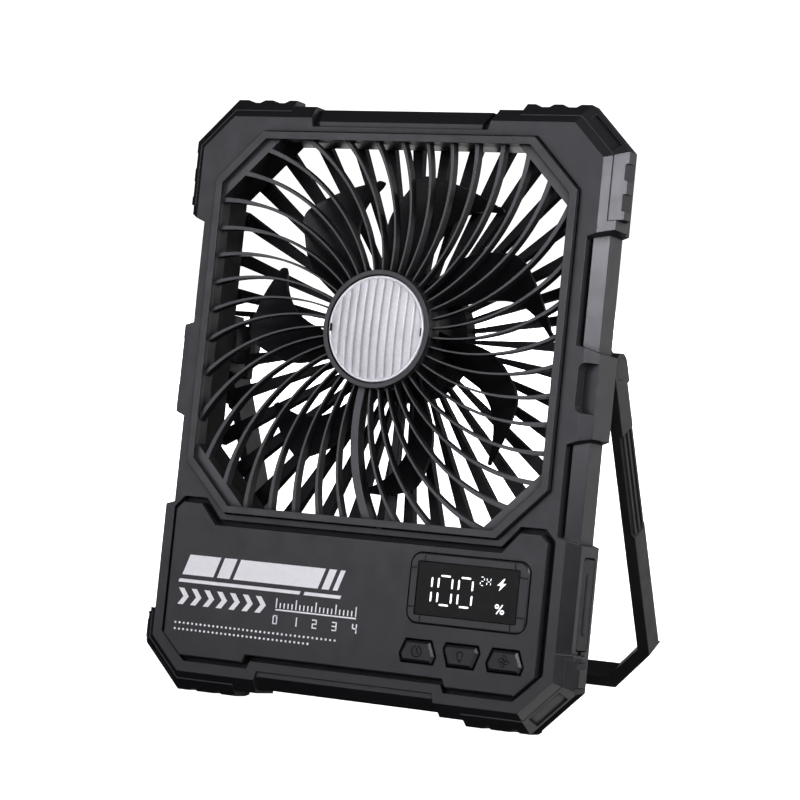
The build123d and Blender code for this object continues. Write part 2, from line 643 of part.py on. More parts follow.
with BuildPart() as usb_a_socket:
    with BuildSketch(Plane.YZ.offset(79.0)):
        with Locations((13.8, -64.2)):
            Rectangle(6.5, 13.3)
    extrude(amount=15.0)
    with BuildSketch(Plane.YZ.offset(82.0)):
        with Locations((13.8, -64.2)):
            Rectangle(5.5, 12.4)
    extrude(amount=15.0, mode=Mode.SUBTRACT)
    with BuildSketch(Plane.YZ.offset(81.0)):
        with Locations((14.9, -64.2)):
            Rectangle(1.7, 11.2)
    extrude(amount=11.5)

with BuildPart() as usb_c_socket:
    with BuildSketch(Plane.YZ.offset(79.0)):
        with Locations((13.8, -80.0)):
            RectangleRounded(3.3, 9.1, 1.6)
    extrude(amount=15.0)
    with BuildSketch(Plane.YZ.offset(87.0)):
        with Locations((13.8, -80.0)):
            RectangleRounded(2.6, 8.4, 1.25)
    extrude(amount=15.0, mode=Mode.SUBTRACT)
    with BuildSketch(Plane.YZ.offset(86.5)):
        with Locations((13.8, -80.0)):
            Rectangle(0.7, 6.6)
    extrude(amount=6.0)

# Flap over the ports: it swings about its rounded upper end.
cover_x = 95.25
cover_axis_z = port_z1 - cover_t / 2
with BuildPart() as port_cover:
    with BuildSketch(at(cover_y - cover_w / 2)):
        Polygon((cover_x - cover_t / 2, port_z0), (cover_x + cover_t / 2, port_z0),
                (cover_x + cover_t / 2, cover_axis_z), (cover_x - cover_t / 2, cover_axis_z), align=None)
        with Locations((cover_x, cover_axis_z)):
            Circle(cover_t / 2)
    extrude(amount=-cover_w)
    chamfer(port_cover.faces().sort_by(Axis.X)[-1].outer_wire().edges().filter_by(Axis.Z), length=0.45)
    with BuildSketch(Plane.YZ.offset(90.0)):
        with Locations((cover_y, (port_z0 + port_z1) / 2)):
            RectangleRounded(cover_w, port_z1 - port_z0, 1.6)
    extrude(amount=10, mode=Mode.INTERSECT)
    # raised bead along the middle
    with BuildSketch(Plane.YZ.offset(cover_x + cover_t / 2 - 0.2)):
        with Locations((cover_y, -72.0)):
            RectangleRounded(3.6, 24.0, 1.2)
    extrude(amount=0.55)

# ============================================================ BATTERY
cell_y, cell_rows = 28.6, (-70.5, -90.0)
with BuildPart() as battery_cells:
    for z in cell_rows:
        for x0 in (-66.5, 1.5):
            with BuildSketch(Plane(origin=(x0, cell_y, z), x_dir=(0, 1, 0), z_dir=(1, 0, 0))):
                Circle(9.1)
            extrude(amount=64.0)
            with BuildSketch(Plane(origin=(x0 + 64.0, cell_y, z), x_dir=(0, 1, 0), z_dir=(1, 0, 0))):
                Circle(2.9)
            extrude(amount=1.0)

with BuildPart() as battery_cradle:
    with BuildSketch(at(16.8)):
        with Locations((0, -80.2)):
            Rectangle(140.0, 42.0)
    extrude(amount=-2.0)
    with BuildSketch(at(18.8)):
        with Locations((-68.9, -80.2), (68.9, -80.2)):
            Rectangle(2.0, 42.0)
    extrude(amount=-17.0)
    with BuildSketch(at(18.8)):
        with Locations((0, -80.25)):
            Rectangle(1.2, 36.0)
    extrude(amount=-12.0)

# ============================================================ REAR HOUSING
bulge_lo = [(-62, -114), (62, -114), (87, -89), (87, -51), (-87, -51), (-87, -89)]
bulge_hi = [(-61, -111.5), (61, -111.5), (84.5, -88), (84.5, -59), (-84.5, -59), (-84.5, -88)]
bulge_in_lo = [(-61.1, -111.8), (61.1, -111.8), (84.8, -88.1), (84.8, -53.0), (-84.8, -53.0), (-84.8, -88.1)]
bulge_in_hi = [(-60.2, -109.5), (60.2, -109.5), (82.5, -87.2), (82.5, -60.4), (-82.5, -60.4), (-82.5, -87.2)]
with BuildPart() as rear_housing:
    with BuildSketch(at(seam)):
        Polygon(*octagon(90.6, -115.1, 115.1, 15.9), align=None)
    extrude(amount=-(shell_back - seam))
    with BuildSketch(at(shell_back)):
        Polygon(*octagon(rear_hw, rear_z0, rear_z1, rear_ch), align=None)
    extrude(amount=-(fan_back - shell_back))
    with BuildSketch(at(fan_back)):
        Polygon(*bulge_lo, align=None)
    with BuildSketch(at(bulge_back)):
        Polygon(*bulge_hi, align=None)
    loft(ruled=True)
    with BuildSketch(at(seam - 0.5)):
        Polygon(*octagon(rear_hw - wall, rear_z0 + wall, rear_z1 - wall, rear_ch - 1.3), align=None)
    extrude(amount=-(fan_back - seam + 0.51), mode=Mode.SUBTRACT)
    with BuildSketch(at(fan_back - 0.5)):
        Polygon(*bulge_in_lo, align=None)
    with BuildSketch(at(bulge_back - 2.3)):
        Polygon(*bulge_in_hi, align=None)
    loft(ruled=True, mode=Mode.SUBTRACT)
    # round the fan the tub is low, except beside the hinges
    with BuildSketch(at(tub_back)):
        Polygon((-100, -51), (100, -51), (100, 130), (-100, 130), align=None)
        with Locations((90.0, pivot_z), (-90.0, pivot_z)):
            Rectangle(20.0, 24.0, mode=Mode.SUBTRACT)
    extrude(amount=-30, mode=Mode.SUBTRACT)
    # wall between the air duct and the battery space
    with BuildSketch(at(seam)):
        with Locations((0, -52.0)):
            Rectangle(2 * rear_hw - 1, 2.0)
    extrude(amount=-(fan_back - seam))
    # hinge bosses
    for sx in (1, -1):
        with BuildSketch(Plane.YZ.offset(80.2 if sx > 0 else -87.0)):
            Polygon((shell_back, pivot_z - 8), (pivot_y, pivot_z - 8), (pivot_y, pivot_z + 8), (shell_back, pivot_z + 8), align=None)
            with Locations((pivot_y, pivot_z)):
                Circle(8.0)
        extrude(amount=6.8)
    with BuildSketch(Plane.YZ.offset(-90)):
        with Locations((pivot_y, pivot_z)):
            Circle(bush_r)
    extrude(amount=180, mode=Mode.SUBTRACT)
    # screw holes in the flange, passage for the motor wires
    with BuildSketch(at(seam - 0.5)):
        with Locations(*screw_spots):
            Circle(1.65)
    extrude(amount=-5, mode=Mode.SUBTRACT)
    with BuildSketch(at(26.0)):
        with Locations((0, -52.0)):
            Rectangle(6.4, 3.0)
    extrude(amount=-2.0, mode=Mode.SUBTRACT)

with BuildPart() as housing_screws:
    with BuildSketch(at(shell_back - 12.0)):
        with Locations(*screw_spots):
            Circle(1.28)
    extrude(amount=-12.0)
    with BuildSketch(at(shell_back)):
        with Locations(*screw_spots):
            Circle(2.75)
    extrude(amount=-2.0)
    with BuildSketch(at(shell_back + 0.8)):
        with Locations(*screw_spots):
            Rectangle(0.8, 3.2)
            Rectangle(3.2, 0.8)
    extrude(amount=-3.0, mode=Mode.SUBTRACT)

# ============================================================ REAR GRILLE
# A shallow cage: 38 straight ribs run out from the motor plate, turn forwards
# at the edge and end on a frame that sits on the tub.
cage_out = [(x, z - hub_z) for x, z in octagon(rear_hw, -50.9, rear_z1, rear_ch)]
cage_in = octagon(rear_hw - 1.6, -49.3, rear_z1 - 1.6, rear_ch - 0.9)
with BuildPart() as rear_grille:
    with BuildSketch(hub_at(tub_back + 1.4)):
        with PolarLocations(0, 38):
            Polygon((25.0, -0.62), (130.0, -3.9), (130.0, 3.9), (25.0, 0.62), align=None)
        Polygon(*cage_out, align=None, mode=Mode.INTERSECT)
    extrude(amount=-(fan_back - tub_back - 1.4))
    with BuildSketch(at(tub_back + 1.0)):
        Polygon(*cage_in, align=None)
    extrude(amount=-(fan_back - 4.0 - tub_back - 1.0), mode=Mode.SUBTRACT)
    with BuildSketch(hub_at(tub_back)):
        Polygon(*cage_out, align=None)
    extrude(amount=-1.4)
    with BuildSketch(at(tub_back - 1.0)):
        Polygon(*cage_in, align=None)
    extrude(amount=-2.4, mode=Mode.SUBTRACT)
    # motor plate with a dished back and a rim
    with BuildSketch(hub_at(27.5)):
        Circle(27.0)
    extrude(amount=-(fan_back - 27.5))
    with BuildSketch(hub_at(32.0)):
        Circle(24.5)
    extrude(amount=-5.0, mode=Mode.SUBTRACT)
    with BuildSketch(hub_at(31.0)):
        Circle(23.0)
        Circle(14.0, mode=Mode.SUBTRACT)
    extrude(amount=-3.0, mode=Mode.SUBTRACT)
    # framed room for the hinge bosses
    with BuildSketch(at(fan_back - 4.0)):
        for sx in (1, -1):
            Polygon((sx * 77.7, pivot_z - 14.45), (sx * rear_hw, pivot_z - 14.45), (sx * rear_hw, pivot_z + 14.45), (sx * 77.7, pivot_z + 14.45), align=None)
    extrude(amount=-4.0)
    with BuildSketch(at(20)):
        with Locations((90.0, pivot_z), (-90.0, pivot_z)):
            Rectangle(20.6, 24.9)
    extrude(amount=-20, mode=Mode.SUBTRACT)
    # room for the motor wires and screws
    with BuildSketch(at(26.0)):
        with Locations((0, -50.1)):
            Rectangle(6.4, 3.0)
    extrude(amount=-2.6, mode=Mode.SUBTRACT)
    with BuildSketch(hub_at(27.0)):
        with PolarLocations(10.0, 3):
            Circle(1.25)
    extrude(amount=-6, mode=Mode.SUBTRACT)
    with BuildSketch(hub_at(30.2)):
        with PolarLocations(10.0, 3):
            Circle(2.3)
    extrude(amount=-4, mode=Mode.SUBTRACT)

# ============================================================ MOTOR
with BuildPart() as bearing_tube:
    with BuildSketch(hub_at(14.2)):
        Circle(5.2)
    extrude(amount=-11.7)
    with BuildSketch(hub_at(24.4)):
        Circle(13.2)
    extrude(amount=-1.5)
    with BuildSketch(hub_at(14.0)):
        Circle(4.0)
    extrude(amount=-14, mode=Mode.SUBTRACT)
    with BuildSketch(hub_at(18.6)):
        Circle(4.6)
        Circle(3.2, mode=Mode.SUBTRACT)
    extrude(amount=-3.2)
    with BuildSketch(hub_at(24.0)):
        with PolarLocations(10.0, 3):
            Circle(1.0)
    extrude(amount=-3, mode=Mode.SUBTRACT)

with BuildPart() as bearings:
    for y0 in (14.6, 21.8):
        with BuildSketch(hub_at(y0)):
            Circle(4.0)
            Circle(1.5 + 0.05, mode=Mode.SUBTRACT)
        extrude(amount=-4.0)

with BuildPart() as motor_board:
    with BuildSketch(hub_at(25.9)):
        Circle(15.0)
        Circle(5.6, mode=Mode.SUBTRACT)
        with PolarLocations(10.0, 3):
            Circle(1.25, mode=Mode.SUBTRACT)
    extrude(amount=-1.6)

with BuildPart() as motor_screws:
    with BuildSketch(hub_at(24.6)):
        with PolarLocations(10.0, 3):
            Circle(0.98)
    extrude(amount=-5.6)
    with BuildSketch(hub_at(30.2)):
        with PolarLocations(10.0, 3):
            Circle(2.0)
    extrude(amount=-1.4)

with BuildPart() as motor_stator:
    with BuildSketch(hub_at(15.6)):
        Circle(7.6)
        with PolarLocations(10.5, 9):
            Rectangle(8.0, 2.3)
        with PolarLocations(15.2, 9):
            Rectangle(1.5, 8.4)
        Circle(16.1, mode=Mode.INTERSECT)
        Circle(5.25, mode=Mode.SUBTRACT)
    extrude(amount=-6.0)

with BuildPart() as motor_coils:
    with BuildSketch(hub_at(14.3)):
        with PolarLocations(11.1, 9):
            Rectangle(5.2, 4.6)
    extrude(amount=-8.6)
    with BuildSketch(hub_at(15.5)):
        with PolarLocations(11.1, 9):
            Rectangle(9.0, 2.5)
    extrude(amount=-6.2, mode=Mode.SUBTRACT)

with BuildPart() as motor_wires:
    with BuildSketch(at(26.3)):
        for dx in (-1.7, 0.0, 1.7):
            with Locations((dx, -20.4)):
                Rectangle(1.3, 70.0)
    extrude(amount=-1.1)

with BuildPart() as motor_shaft:
    with BuildSketch(hub_at(10.8)):
        Circle(1.5)
    extrude(amount=-16.0)

with BuildPart() as rotor_cup:
    with BuildSketch(hub_at(10.9)):
        Circle(19.8)
    extrude(amount=-12.1)
    with BuildSketch(hub_at(12.3)):
        Circle(18.6)
    extrude(amount=-20, mode=Mode.SUBTRACT)
    with BuildSketch(hub_at(12.0)):
        Circle(3.2)
    extrude(amount=-1.9)
    with BuildSketch(hub_at(9.0)):
        Circle(1.5)
    extrude(amount=-10, mode=Mode.SUBTRACT)

with BuildPart() as rotor_magnet:
    with BuildSketch(hub_at(13.2)):
        Circle(18.55)
        Circle(16.7, mode=Mode.SUBTRACT)
    extrude(amount=-9.4)

# ============================================================ IMPELLER
# One blade, drawn with local X along its middle and local Z towards the front.
lead_y, trail_y = 24.2, 10.0
sections = ((14.0, 4.6, 13.0), (34.0, 2.4, 16.6), (48.0, -1.5, 17.6), (58.0, -12.0, 13.6), (70.0, -34.0, 6.0))
blade_t = 1.7
with BuildPart() as blade:
    for d, tl, tt in sections:
        run = hypot(tt - tl, lead_y - trail_y)
        ux, uz = (tt - tl) / run, (lead_y - trail_y) / run
        nx, nz = -uz * blade_t / 2, ux * blade_t / 2
        ex, ez = ux * 0.12 * run, uz * 0.12 * run
        a = (tl - ex, -lead_y - ez)
        b = (tt + ex, -trail_y + ez)
        with BuildSketch(Plane.YZ.offset(d)):
            Polygon((a[0] - nx, a[1] - nz), (b[0] - nx, b[1] - nz), (b[0] + nx, b[1] + nz), (a[0] + nx, a[1] + nz), align=None)
    loft()
    with BuildSketch(Plane.XY.offset(-26.0)):
        with BuildLine():
            Spline((18.0, 4.4), (34.2, 2.6), (41.4, 0.9), (50.0, -2.6), (55.3, -7.4), (59.0, -13.6), (60.9, -20.6))
            ThreePointArc((60.9, -20.6), (62.3, -22.5), (63.3, -20.3))
            ThreePointArc((63.3, -20.3), (tip_r, -2.0), (65.4, 6.8))
            Spline((65.4, 6.8), (63.4, 10.4), (57.3, 13.9), (51.0, 16.4), (43.8, 17.7), (36.0, 16.6), (18.0, 12.4))
            Line((18.0, 12.4), (18.0, 4.4))
        make_face()
    extrude(amount=18.0, mode=Mode.INTERSECT)

with BuildPart(hub_at(0)) as impeller:
    with PolarLocations(0, blades, start_angle=22.2):
        add(blade.part)
    with BuildSketch(hub_at(8.6)):
        Circle(22.0)
    extrude(amount=-16.0)
    with BuildSketch(hub_at(10.6)):
        Circle(19.9)
    extrude(amount=-40.0, mode=Mode.SUBTRACT)

# ============================================================ STAND
# Drawn folded: a U round the back of the body.
low = pivot_z - bail_len
ch_in = bail_ch - 0.586 * strap_t
with BuildPart() as bail_folded:
    with BuildSketch(at(pivot_y - strap_d / 2)):
        Polygon((-bail_hw, pivot_z), (-bail_hw, low + bail_ch), (-bail_hw + bail_ch, low), (bail_hw - bail_ch, low),
                (bail_hw, low + bail_ch), (bail_hw, pivot_z), (bail_hw - strap_t, pivot_z),
                (bail_hw - strap_t, low + strap_t + ch_in), (bail_hw - strap_t - ch_in, low + strap_t),
                (-bail_hw + strap_t + ch_in, low + strap_t), (-bail_hw + strap_t, low + strap_t + ch_in),
                (-bail_hw + strap_t, pivot_z), align=None)
    extrude(amount=-strap_d)
    # rounded upper ends
    for x0 in (bail_hw - strap_t, -bail_hw):
        with BuildSketch(Plane.YZ.offset(x0)):
            with Locations((pivot_y, pivot_z)):
                Circle(strap_d / 2)
        extrude(amount=strap_t)
    # slimmer middle of each arm, with lengthwise ridges left standing
    for sx in (1, -1):
        with BuildSketch(Plane.XY.offset(pivot_z - 8.0)):
            Polygon((sx * bail_hw, pivot_y + 3.4), (sx * (bail_hw + 1), pivot_y + 2.4), (sx * (bail_hw + 1), pivot_y + 7.4),
                    (sx * (bail_hw - 4.0 / 3.0), pivot_y + 7.4), align=None)
        extrude(amount=-(bail_len - bail_ch - 8.0), mode=Mode.SUBTRACT)
        with BuildSketch(at(0)):
            Polygon((sx * (bail_hw - 1.3), pivot_z - 28.0), (sx * (bail_hw + 2), pivot_z - 25.5),
                    (sx * (bail_hw + 2), pivot_z - 74.2), (sx * (bail_hw - 1.3), pivot_z - 71.7), align=None)
        extrude(amount=-60, mode=Mode.SUBTRACT)
        with BuildSketch(at(pivot_y - 4.7)):
            Polygon((sx * (bail_hw - 1.6), pivot_z - 27.5), (sx * (bail_hw - 0.4), pivot_z - 27.5),
                    (sx * (bail_hw - 0.4), pivot_z - 72.7), (sx * (bail_hw - 1.6), pivot_z - 72.7), align=None)
        extrude(amount=-1.5)
        with BuildSketch(at(pivot_y - 0.8)):
            Polygon((sx * (bail_hw - 1.6), pivot_z - 27.5), (sx * (bail_hw - 0.4), pivot_z - 27.5),
                    (sx * (bail_hw - 0.4), pivot_z - 72.7), (sx * (bail_hw - 1.6), pivot_z - 72.7), align=None)
        extrude(amount=-1.5)
        with BuildSketch(at(pivot_y + 3.1)):
            Polygon((sx * (bail_hw - 1.6), pivot_z - 27.5), (sx * (bail_hw - 0.4), pivot_z - 27.5),
                    (sx * (bail_hw - 0.4), pivot_z - 72.7), (sx * (bail_hw - 1.6), pivot_z - 72.7), align=None)
        extrude(amount=-1.5)
    # pin holes and cap seats
    with BuildSketch(Plane.YZ.offset(-100)):
        with Locations((pivot_y, pivot_z)):
            Circle(pin_r)
    extrude(amount=200, mode=Mode.SUBTRACT)
    for x0 in (bail_hw - 0.9, -bail_hw - 4):
        with BuildSketch(Plane.YZ.offset(x0)):
            with Locations((pivot_y, pivot_z)):
                Circle(4.6)
        extrude(amount=4.9, mode=Mode.SUBTRACT)

with BuildPart() as hinge_pins:
    for x0 in (80.6, -(bail_hw - 0.9)):
        with BuildSketch(Plane.YZ.offset(x0)):
            with Locations((pivot_y, pivot_z)):
                Circle(pin_r)
        extrude(amount=bail_hw - 0.9 - 80.6)

with BuildPart() as hinge_caps:
    for x0 in (bail_hw - 0.9, -bail_hw):
        with BuildSketch(Plane.YZ.offset(x0)):
            with Locations((pivot_y, pivot_z)):
                Circle(4.5)
        extrude(amount=0.9)

with BuildPart() as hinge_bushes:
    for x0 in (80.6, -87.3):
        with BuildSketch(Plane.YZ.offset(x0)):
            with Locations((pivot_y, pivot_z)):
                Circle(bush_r)
                Circle(pin_r + pin_clear, mode=Mode.SUBTRACT)
        extrude(amount=6.7)

# ============================================================ SET DOWN
# Lean everything back and stand it on the floor; the stand is opened first.
seat = Location((0, seat_y, seat_z)) * Location((0, 0, 0), (-lean, 0, 0))
swing = Location((0, pivot_y, pivot_z)) * Location((0, 0, 0), (stand_open, 0, 0)) * Location((0, -pivot_y, -pivot_z))

with BuildPart() as stand_bail:
    add(seat * swing * bail_folded.part)
    split(bisect_by=Plane.XY, keep=Keep.TOP)

finished = {"stand_bail": stand_bail.part}
for node, piece in (("hinge_pins", hinge_pins), ("hinge_caps", hinge_caps)):
    finished[node] = seat * swing * piece.part
for node in ("guard_top_right", "guard_top_left"):
    finished[node] = seat * guard_parts[node]
for node in ("guard_bottom_right", "guard_bottom_left"):
    with BuildPart() as foot_guard:
        add(seat * guard_parts[node])
        split(bisect_by=Plane.XY, keep=Keep.TOP)
    finished[node] = foot_guard.part
for node, piece in (
        ("front_housing", front_housing), ("front_grille", front_grille), ("air_duct", air_duct), ("lamp_wire", lamp_wire),
        ("lamp_lens", lamp_lens), ("lamp_reflector", lamp_reflector), ("lamp_board", lamp_board),
        ("lamp_leds", lamp_leds), ("control_panel", control_panel), ("display_bezel", display_bezel),
        ("display_window", display_window), ("display_module", display_module), ("main_board", main_board),
        ("tact_switches", tact_switches), ("board_screws", board_screws), ("port_board", port_board),
        ("port_screws", port_screws), ("usb_a_socket", usb_a_socket), ("usb_c_socket", usb_c_socket),
        ("port_cover", port_cover), ("battery_cells", battery_cells), ("battery_cradle", battery_cradle),
        ("rear_housing", rear_housing), ("housing_screws", housing_screws), ("rear_grille", rear_grille),
        ("bearing_tube", bearing_tube), ("bearings", bearings), ("motor_board", motor_board),
        ("motor_screws", motor_screws), ("motor_stator", motor_stator), ("motor_coils", motor_coils),
        ("motor_wires", motor_wires), ("motor_shaft", motor_shaft), ("rotor_cup", rotor_cup),
        ("rotor_magnet", rotor_magnet), ("impeller", impeller), ("hinge_bushes", hinge_bushes)):
    finished[node] = seat * piece.part
for node, solid in button_parts.items():
    finished[node] = seat * solid

for node, solid in finished.items():
    solid.label = node
    export_step(solid, "parts/" + node + ".step")

boxes = [solid.bounding_box() for solid in finished.values()]
print("box x", min(b.min.X for b in boxes), max(b.max.X for b in boxes))
print("box y", min(b.min.Y for b in boxes), max(b.max.Y for b in boxes))
print("box z", min(b.min.Z for b in boxes), max(b.max.Z for b in boxes))
print("seat", seat_y, seat_z)
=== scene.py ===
# Foldable desk fan: finishes, fluted lamp lens, lit display, button icons and
# panel print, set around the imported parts.
import math
import bpy
import bmesh
from mathutils import Matrix, Vector


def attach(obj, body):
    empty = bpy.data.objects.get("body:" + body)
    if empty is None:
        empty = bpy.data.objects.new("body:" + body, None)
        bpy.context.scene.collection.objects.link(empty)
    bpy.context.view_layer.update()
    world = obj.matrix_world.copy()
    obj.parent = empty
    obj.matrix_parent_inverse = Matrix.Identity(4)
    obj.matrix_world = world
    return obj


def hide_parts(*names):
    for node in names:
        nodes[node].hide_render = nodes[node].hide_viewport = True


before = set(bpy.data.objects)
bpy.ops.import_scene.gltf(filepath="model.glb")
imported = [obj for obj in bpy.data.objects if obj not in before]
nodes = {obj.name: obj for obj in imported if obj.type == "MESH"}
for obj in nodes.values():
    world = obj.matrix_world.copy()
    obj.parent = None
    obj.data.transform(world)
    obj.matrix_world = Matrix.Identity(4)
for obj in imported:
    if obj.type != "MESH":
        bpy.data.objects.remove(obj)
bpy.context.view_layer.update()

scene = bpy.context.scene

# ------------------------------------------------------------------ body frame
# The body is described upright: x right, y back, z up, in millimetres, with
# the front face at y = 0. at() leans it back and sets it on the floor.
LEAN = math.radians(12.0)
SEAT_Y, SEAT_Z = -32.5924, 124.92355733
HUB_Z = 30.2


def at(x, y, z):
    return Vector((x,
                   math.cos(LEAN) * y + math.sin(LEAN) * z + SEAT_Y,
                   -math.sin(LEAN) * y + math.cos(LEAN) * z + SEAT_Z)) * 0.001


# ------------------------------------------------------------------ node tools
def new_material(name):
    mat = bpy.data.materials.new(name)
    mat.use_nodes = True
    tree = mat.node_tree
    tree.nodes.clear()
    out = tree.nodes.new("ShaderNodeOutputMaterial")
    bsdf = tree.nodes.new("ShaderNodeBsdfPrincipled")
    tree.links.new(bsdf.outputs["BSDF"], out.inputs["Surface"])
    return mat, tree, bsdf


def object_coords(tree, scale=(1, 1, 1)):
    tc = tree.nodes.new("ShaderNodeTexCoord")
    if scale == (1, 1, 1):
        return tc.outputs["Object"]
    m = tree.nodes.new("ShaderNodeMapping")
    m.inputs["Scale"].default_value = scale
    tree.links.new(tc.outputs["Object"], m.inputs["Vector"])
    return m.outputs["Vector"]


def noise(tree, vec, scale, detail=2.0, rough=0.5):
    n = tree.nodes.new("ShaderNodeTexNoise")
    n.inputs["Scale"].default_value = scale
    n.inputs["Detail"].default_value = detail
    n.inputs["Roughness"].default_value = rough
    tree.links.new(vec, n.inputs["Vector"])
    return n.outputs["Fac"]


def ramp(tree, fac, stops):
    r = tree.nodes.new("ShaderNodeValToRGB")
    el = r.color_ramp.elements
    while len(el) < len(stops):
        el.new(0.5)
    for e, (p, c) in zip(el, stops):
        e.position = p
        e.color = (c[0], c[1], c[2], 1.0)
    tree.links.new(fac, r.inputs["Fac"])
    return r.outputs["Color"]


def remap(tree, fac, lo, hi, a=0.3, b=0.7):
    m = tree.nodes.new("ShaderNodeMapRange")
    m.inputs["From Min"].default_value = a
    m.inputs["From Max"].default_value = b
    m.inputs["To Min"].default_value = lo
    m.inputs["To Max"].default_value = hi
    tree.links.new(fac, m.inputs["Value"])
    return m.outputs["Result"]


def edge_mask(tree, radius):
    """Mask for the painted edge highlight: one along hard edges, zero on flat ground, and the eased normal there."""
    bev = tree.nodes.new("ShaderNodeBevel")
    bev.samples = 4
    bev.inputs["Radius"].default_value = radius
    geo = tree.nodes.new("ShaderNodeNewGeometry")
    dot = tree.nodes.new("ShaderNodeVectorMath")
    dot.operation = "DOT_PRODUCT"
    tree.links.new(bev.outputs["Normal"], dot.inputs[0])
    tree.links.new(geo.outputs["Normal"], dot.inputs[1])
    return remap(tree, dot.outputs["Value"], 1.0, 0.0, 0.80, 0.995), bev.outputs["Normal"]


def seam_shade(tree, reach):
    """Mask for painted shade: one in the open, zero down in seams and steps."""
    ao = tree.nodes.new("ShaderNodeAmbientOcclusion")
    ao.samples = 6
    ao.inputs["Distance"].default_value = reach
    return remap(tree, ao.outputs["AO"], 0.0, 1.0, 0.40, 0.84)


def rib_faces(tree, vec):
    """One on the flat fronts of the ribs, which lie in the plane of the face: the mask for their painted highlight.
    """
    dot = tree.nodes.new("ShaderNodeVectorMath")
    dot.operation = "DOT_PRODUCT"
    dot.inputs[1].default_value = (0.0, -math.cos(LEAN), math.sin(LEAN))
    tree.links.new(vec, dot.inputs[0])
    plane = 0.001 * (math.sin(LEAN) * SEAT_Z - math.cos(LEAN) * SEAT_Y)
    height = remap(tree, dot.outputs["Value"], 0.0, 1.0, plane - 0.001, plane + 0.001)
    return ramp(tree, height, ((0.25, (0, 0, 0)), (0.42, (1, 1, 1)), (0.62, (1, 1, 1)), (0.75, (0, 0, 0))))


def blend_colours(tree, fac, a, b):
    m = tree.nodes.new("ShaderNodeMix")
    m.data_type = "RGBA"
    tree.links.new(fac, m.inputs["Factor"])
    ia = [s for s in m.inputs if s.name == "A" and s.type == "RGBA"][0]
    ib = [s for s in m.inputs if s.name == "B" and s.type == "RGBA"][0]
    for sock, v in ((ia, a), (ib, b)):
        if isinstance(v, tuple):
            sock.default_value = (v[0], v[1], v[2], 1.0)
        else:
            tree.links.new(v, sock)
    return [s for s in m.outputs if s.type == "RGBA"][0]


def bump(tree, bsdf, height, strength, distance):
    b = tree.nodes.new("ShaderNodeBump")
    b.inputs["Strength"].default_value = strength
    b.inputs["Distance"].default_value = distance
    tree.links.new(height, b.inputs["Height"])
    tree.links.new(b.outputs["Normal"], bsdf.inputs["Normal"])
    return b


def plastic(name, dark, light, edge=None, rough=(0.42, 0.56), grain=2400.0, depth=0.00006,
            strength=0.35, specular=0.5, edge_r=0.00035, reach=0.0, rib_front_glint=None):
    """Moulded plastic: cloudy tone, fine spark-eroded grain, a painted highlight on hard edges, painted shade
    darkening the seams (which are also made duller), and when given a painted highlight on rib fronts.
    """
    mat, tree, bsdf = new_material(name)
    vec = object_coords(tree)
    cloud = noise(tree, vec, 26.0, 4.0, 0.55)
    speck = noise(tree, vec, grain, 2.0, 0.6)
    col = ramp(tree, cloud, ((0.30, dark), (0.70, light)))
    eased = None
    if edge is not None:
        # painted highlight: hard edges, convex and concave alike, turned to the paler edge colour
        edge_glint, eased = edge_mask(tree, edge_r)
        col = blend_colours(tree, edge_glint, col, edge)
    if rib_front_glint is not None:
        # painted highlight: the rib fronts turned lighter than the rest of the grille
        col = blend_colours(tree, rib_faces(tree, vec), col, rib_front_glint)
    patchy = remap(tree, noise(tree, vec, 140.0, 3.0, 0.6), rough[0], rough[1])
    if reach:
        # painted shade: seams, steps and recesses darkened to near black and made rougher, by how occluded they are
        free = seam_shade(tree, reach)
        col = blend_colours(tree, free, (0.0010, 0.0010, 0.0011), col)
        duller_in_shade = tree.nodes.new("ShaderNodeMath")
        tree.links.new(patchy, duller_in_shade.inputs[0])
        tree.links.new(remap(tree, free, 0.45, 0.0, 0.0, 1.0), duller_in_shade.inputs[1])
        patchy = duller_in_shade.outputs["Value"]
    tree.links.new(col, bsdf.inputs["Base Color"])
    tree.links.new(patchy, bsdf.inputs["Roughness"])
    bsdf.inputs["Specular IOR Level"].default_value = specular
    b = bump(tree, bsdf, speck, strength, depth)
    if eased is not None:
        tree.links.new(eased, b.inputs["Normal"])
    return mat


def metal(name, dark, light, rough=(0.22, 0.4), brush=(1, 1, 1), grain=1500.0, metallic=1.0, strength=0.2):
    mat, tree, bsdf = new_material(name)
    vec = object_coords(tree, brush)
    streak = noise(tree, vec, grain, 3.0, 0.6)
    tree.links.new(ramp(tree, streak, ((0.3, dark), (0.7, light))), bsdf.inputs["Base Color"])
    tree.links.new(remap(tree, streak, rough[0], rough[1]), bsdf.inputs["Roughness"])
    bsdf.inputs["Metallic"].default_value = metallic
    bump(tree, bsdf, streak, strength, 0.00003)
    return mat


# ------------------------------------------------------------------ finishes
M = {}
# the third colour of each plastic is a painted edge highlight; reach sets how far the painted seam shade spreads
M["shell"] = plastic("shell_charcoal", (0.0115, 0.0113, 0.0125), (0.0142, 0.0139, 0.0152), (0.0200, 0.0196, 0.0215), specular=0.39, rough=(0.33, 0.40), reach=0.004)
M["panel"] = plastic("panel_charcoal", (0.0115, 0.0113, 0.0125), (0.0142, 0.0139, 0.0152), (0.0200, 0.0196, 0.0215), specular=0.39, rough=(0.34, 0.42), reach=0.003)
M["grille"] = plastic("grille_charcoal", (0.0081, 0.0080, 0.0086), (0.0104, 0.0102, 0.0110), (0.0185, 0.0185, 0.0200), rough=(0.32, 0.40), specular=0.46, reach=0.005, rib_front_glint=(0.0350, 0.0345, 0.0365))
M["rear"] = plastic("rear_charcoal", (0.0190, 0.0187, 0.0203), (0.0235, 0.0231, 0.0249), (0.0320, 0.0315, 0.0340), specular=0.39, rough=(0.44, 0.56), depth=0.0001)
